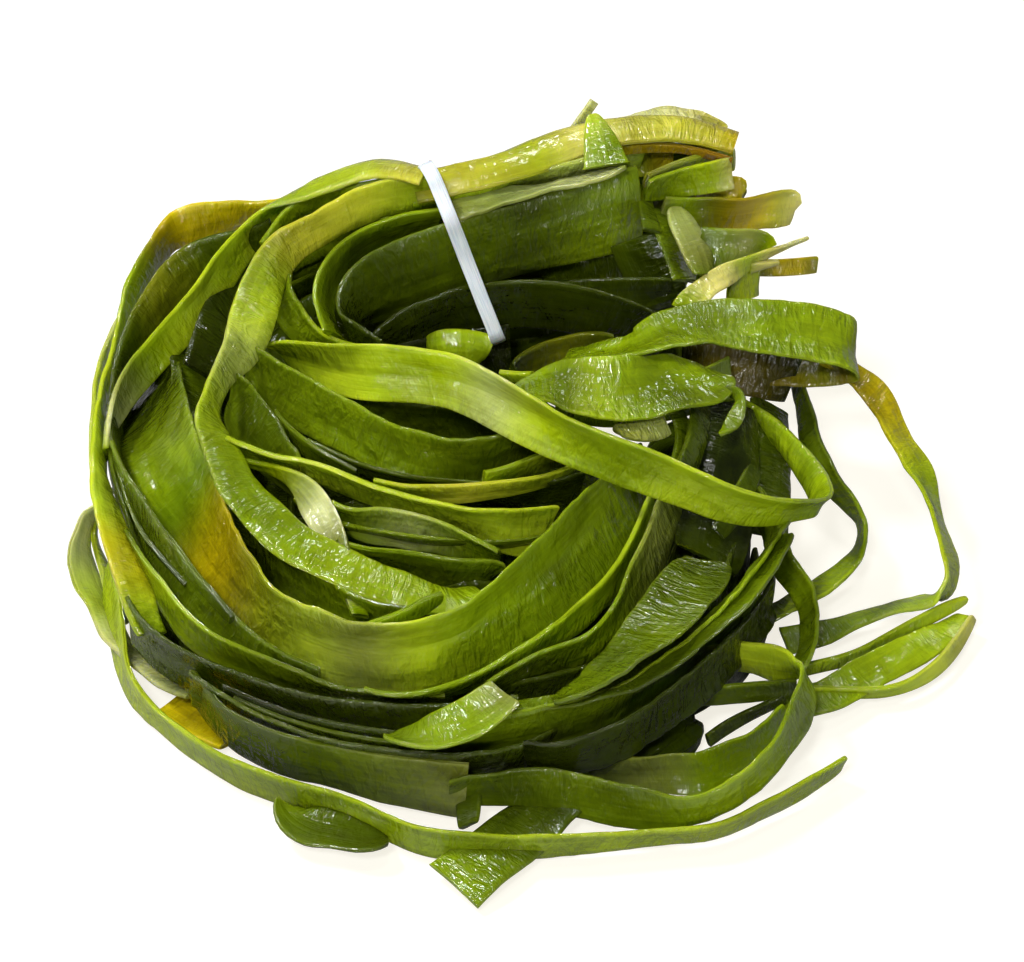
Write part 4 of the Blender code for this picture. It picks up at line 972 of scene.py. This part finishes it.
def closedCurve(route, step):
    # even points along a smooth closed curve through the route
    data = bpy.data.curves.new("guide", "CURVE")
    data.dimensions = "3D"
    data.resolution_u = 24
    spline = data.splines.new("BEZIER")
    spline.bezier_points.add(len(route) - 1)
    for point, place in zip(spline.bezier_points, route):
        point.co = metres(place)
        point.handle_left_type = point.handle_right_type = "AUTO"
    spline.use_cyclic_u = True
    guide = bpy.data.objects.new("guide", data)
    bpy.context.collection.objects.link(guide)
    bpy.context.view_layer.update()
    mesh = bpy.data.meshes.new_from_object(guide)
    dense = [v.co.copy() for v in mesh.vertices]
    bpy.data.objects.remove(guide)
    bpy.data.meshes.remove(mesh)
    dense.append(dense[0])
    points, gone, target = [], 0.0, 0.0
    for here, there in zip(dense, dense[1:]):
        stretch = (there - here).length
        while target <= gone + stretch and stretch > 0:
            points.append(here.lerp(there, (target - gone) / stretch))
            target += step
        gone += stretch
    return points[:-1]


def tieObject(material):
    path = closedCurve(tieRoute, tieSettings["step"] * mm)
    centre = sum(path, Vector()) / len(path)
    wide, thick, bevel = (tieSettings[key] * mm / 2 for key in ("width", "thick", "round"))
    outline = [(wide, thick - bevel), (wide - bevel, thick), (0, thick * 1.1), (bevel - wide, thick),
               (-wide, thick - bevel), (-wide, bevel - thick), (bevel - wide, -thick), (0, -thick * 0.9),
               (wide - bevel, -thick), (wide, bevel - thick)]
    shape = bmesh.new()
    rings = []
    lay = shape.verts.layers.float_vector.new("lay")
    for i, place in enumerate(path):
        along = (path[(i + 1) % len(path)] - path[i - 1]).normalized()
        outward = place - centre
        outward = (outward - along * outward.dot(along)).normalized()
        across = along.cross(outward)
        ring = []
        for a, b in outline:
            vert = shape.verts.new(place + across * a + outward * b)
            vert[lay] = (i * tieSettings["step"] * mm, a, 0.0)
            ring.append(vert)
        rings.append(ring)
    for ring, after in zip(rings, rings[1:] + rings[:1]):
        for k in range(len(outline)):
            m = (k + 1) % len(outline)
            shape.faces.new((ring[k], ring[m], after[m], after[k]))
    bmesh.ops.recalc_face_normals(shape, faces=shape.faces)
    mesh = bpy.data.meshes.new("tieBand")
    shape.to_mesh(mesh)
    shape.free()
    mesh.shade_smooth()
    mesh.materials.append(material)
    band = bpy.data.objects.new("tieBand", mesh)
    bpy.context.collection.objects.link(band)
    print("tieBand", len(mesh.polygons), "faces")
    return band


def tieMaterial():
    material, tree, shader = newMaterial("paleTie")
    lay = attribute(tree, "lay")
    stretched = vectorMaths(tree, "MULTIPLY", lay, (160, 4500, 1.0))
    fibres = addNode(tree, "ShaderNodeTexNoise", {"Vector": stretched, "Scale": 1.0, "Detail": 3.0})
    colour = mixColours(tree, mapRange(tree, fibres.outputs["Fac"], 0.35, 0.65), (0.66, 0.74, 0.80, 1),
                        (0.90, 0.93, 0.95, 1))
    tree.links.new(colour, shader.inputs["Base Color"])
    bump = addNode(tree, "ShaderNodeBump", {"Strength": 0.7, "Distance": 0.0003,
                                            "Height": fibres.outputs["Fac"]})
    tree.links.new(bump.outputs[0], shader.inputs["Normal"])
    shader.inputs["Roughness"].default_value = 0.45
    shader.inputs["Subsurface Weight"].default_value = 0.2
    shader.inputs["Subsurface Scale"].default_value = 0.001
    return material


band = tieObject(tieMaterial())
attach(band, "root")
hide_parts("tie")
pieces.append(band)


floorSettings = {"reach": 3.0, "colour": (0.30, 0.30, 0.29, 1), "glow": (1.0, 0.965, 0.86, 1),
                 "glowStrength": 0.84}


def makeFloor():
    material, tree, shader = newMaterial("paleFloor")
    shader.inputs["Base Color"].default_value = floorSettings["colour"]
    shader.inputs["Roughness"].default_value = 0.8
    shader.inputs["Specular IOR Level"].default_value = 0.0
    shader.inputs["Emission Color"].default_value = floorSettings["glow"]
    # the floor's own glow whitens it for the eye alone, so it lights nothing
    seen = addNode(tree, "ShaderNodeLightPath").outputs["Is Camera Ray"]
    glow = maths(tree, "MULTIPLY", seen, floorSettings["glowStrength"])
    tree.links.new(glow, shader.inputs["Emission Strength"])
    mesh = bpy.data.meshes.new("floor")
    reach = floorSettings["reach"]
    mesh.from_pydata([(-reach, -reach, 0), (reach, -reach, 0), (reach, reach, 0), (-reach, reach, 0)], [],
                     [(0, 1, 2, 3)])
    mesh.materials.append(material)
    floor = bpy.data.objects.new("floor", mesh)
    bpy.context.collection.objects.link(floor)


lights = {
    "key": {"at": (-0.45, 0.10, 0.85), "size": 0.15, "power": 6.5},
    "backStrip": {"at": (0.10, 0.85, 0.75), "size": 0.15, "power": 2.1},
    "topSoft": {"at": (0.0, -0.15, 1.1), "size": 0.12, "power": 1.3},
    "frontSpot": {"at": (-0.15, -0.60, 0.85), "size": 0.13, "power": 4.8},
    "frontFill": {"at": (0.25, -0.95, 0.45), "size": 0.11, "power": 1.1},
    "sideLeft": {"at": (-0.95, 0.15, 0.42), "size": 0.10, "power": 1.1},
    "lowLeft": {"at": (-0.95, -0.50, 0.14), "size": 0.08, "power": 0.7},
    "lowFront": {"at": (0.0, -1.05, 0.16), "size": 0.08, "power": 0.7},
    "lowRight": {"at": (0.75, -0.70, 0.24), "size": 0.08, "power": 0.8},
}


lightAim = Vector((0, 0, 0.02))
skyStrength = 0.05


def makeLights():
    for name, values in lights.items():
        data = bpy.data.lights.new(name, "AREA")
        data.shape = "SQUARE"
        data.size = values["size"]
        data.energy = values["power"]
        lamp = bpy.data.objects.new(name, data)
        lamp.location = values["at"]
        lamp.rotation_euler = (lightAim - Vector(values["at"])).to_track_quat("-Z", "Y").to_euler()
        bpy.context.collection.objects.link(lamp)
    world = bpy.data.worlds.new("studio")
    world.use_nodes = True
    world.node_tree.nodes["Background"].inputs["Color"].default_value = (1, 1, 1, 1)
    world.node_tree.nodes["Background"].inputs["Strength"].default_value = skyStrength
    bpy.context.scene.world = world


view = {"lens": 100.0, "elevation": 42.0, "distance": 0.5262, "target": (-2.4, 1.0, 25.0)}


def makeCamera():
    data = bpy.data.cameras.new("camera")
    data.lens = view["lens"]
    data.sensor_width = 36.0
    camera = bpy.data.objects.new("camera", data)
    aim = metres(view["target"])
    rise = radians(view["elevation"])
    back = Vector((0, -cos(rise), sin(rise)))
    camera.location = aim + back * view["distance"]
    camera.rotation_euler = (pi / 2 - rise, 0, 0)
    data.clip_start = 0.01
    bpy.context.collection.objects.link(camera)
    bpy.context.scene.camera = camera
    bpy.context.scene.view_settings.view_transform = "Standard"


makeFloor()
makeLights()
makeCamera()
print("triangles", sum(sum(len(p.vertices) - 2 for p in piece.data.polygons) for piece in pieces))
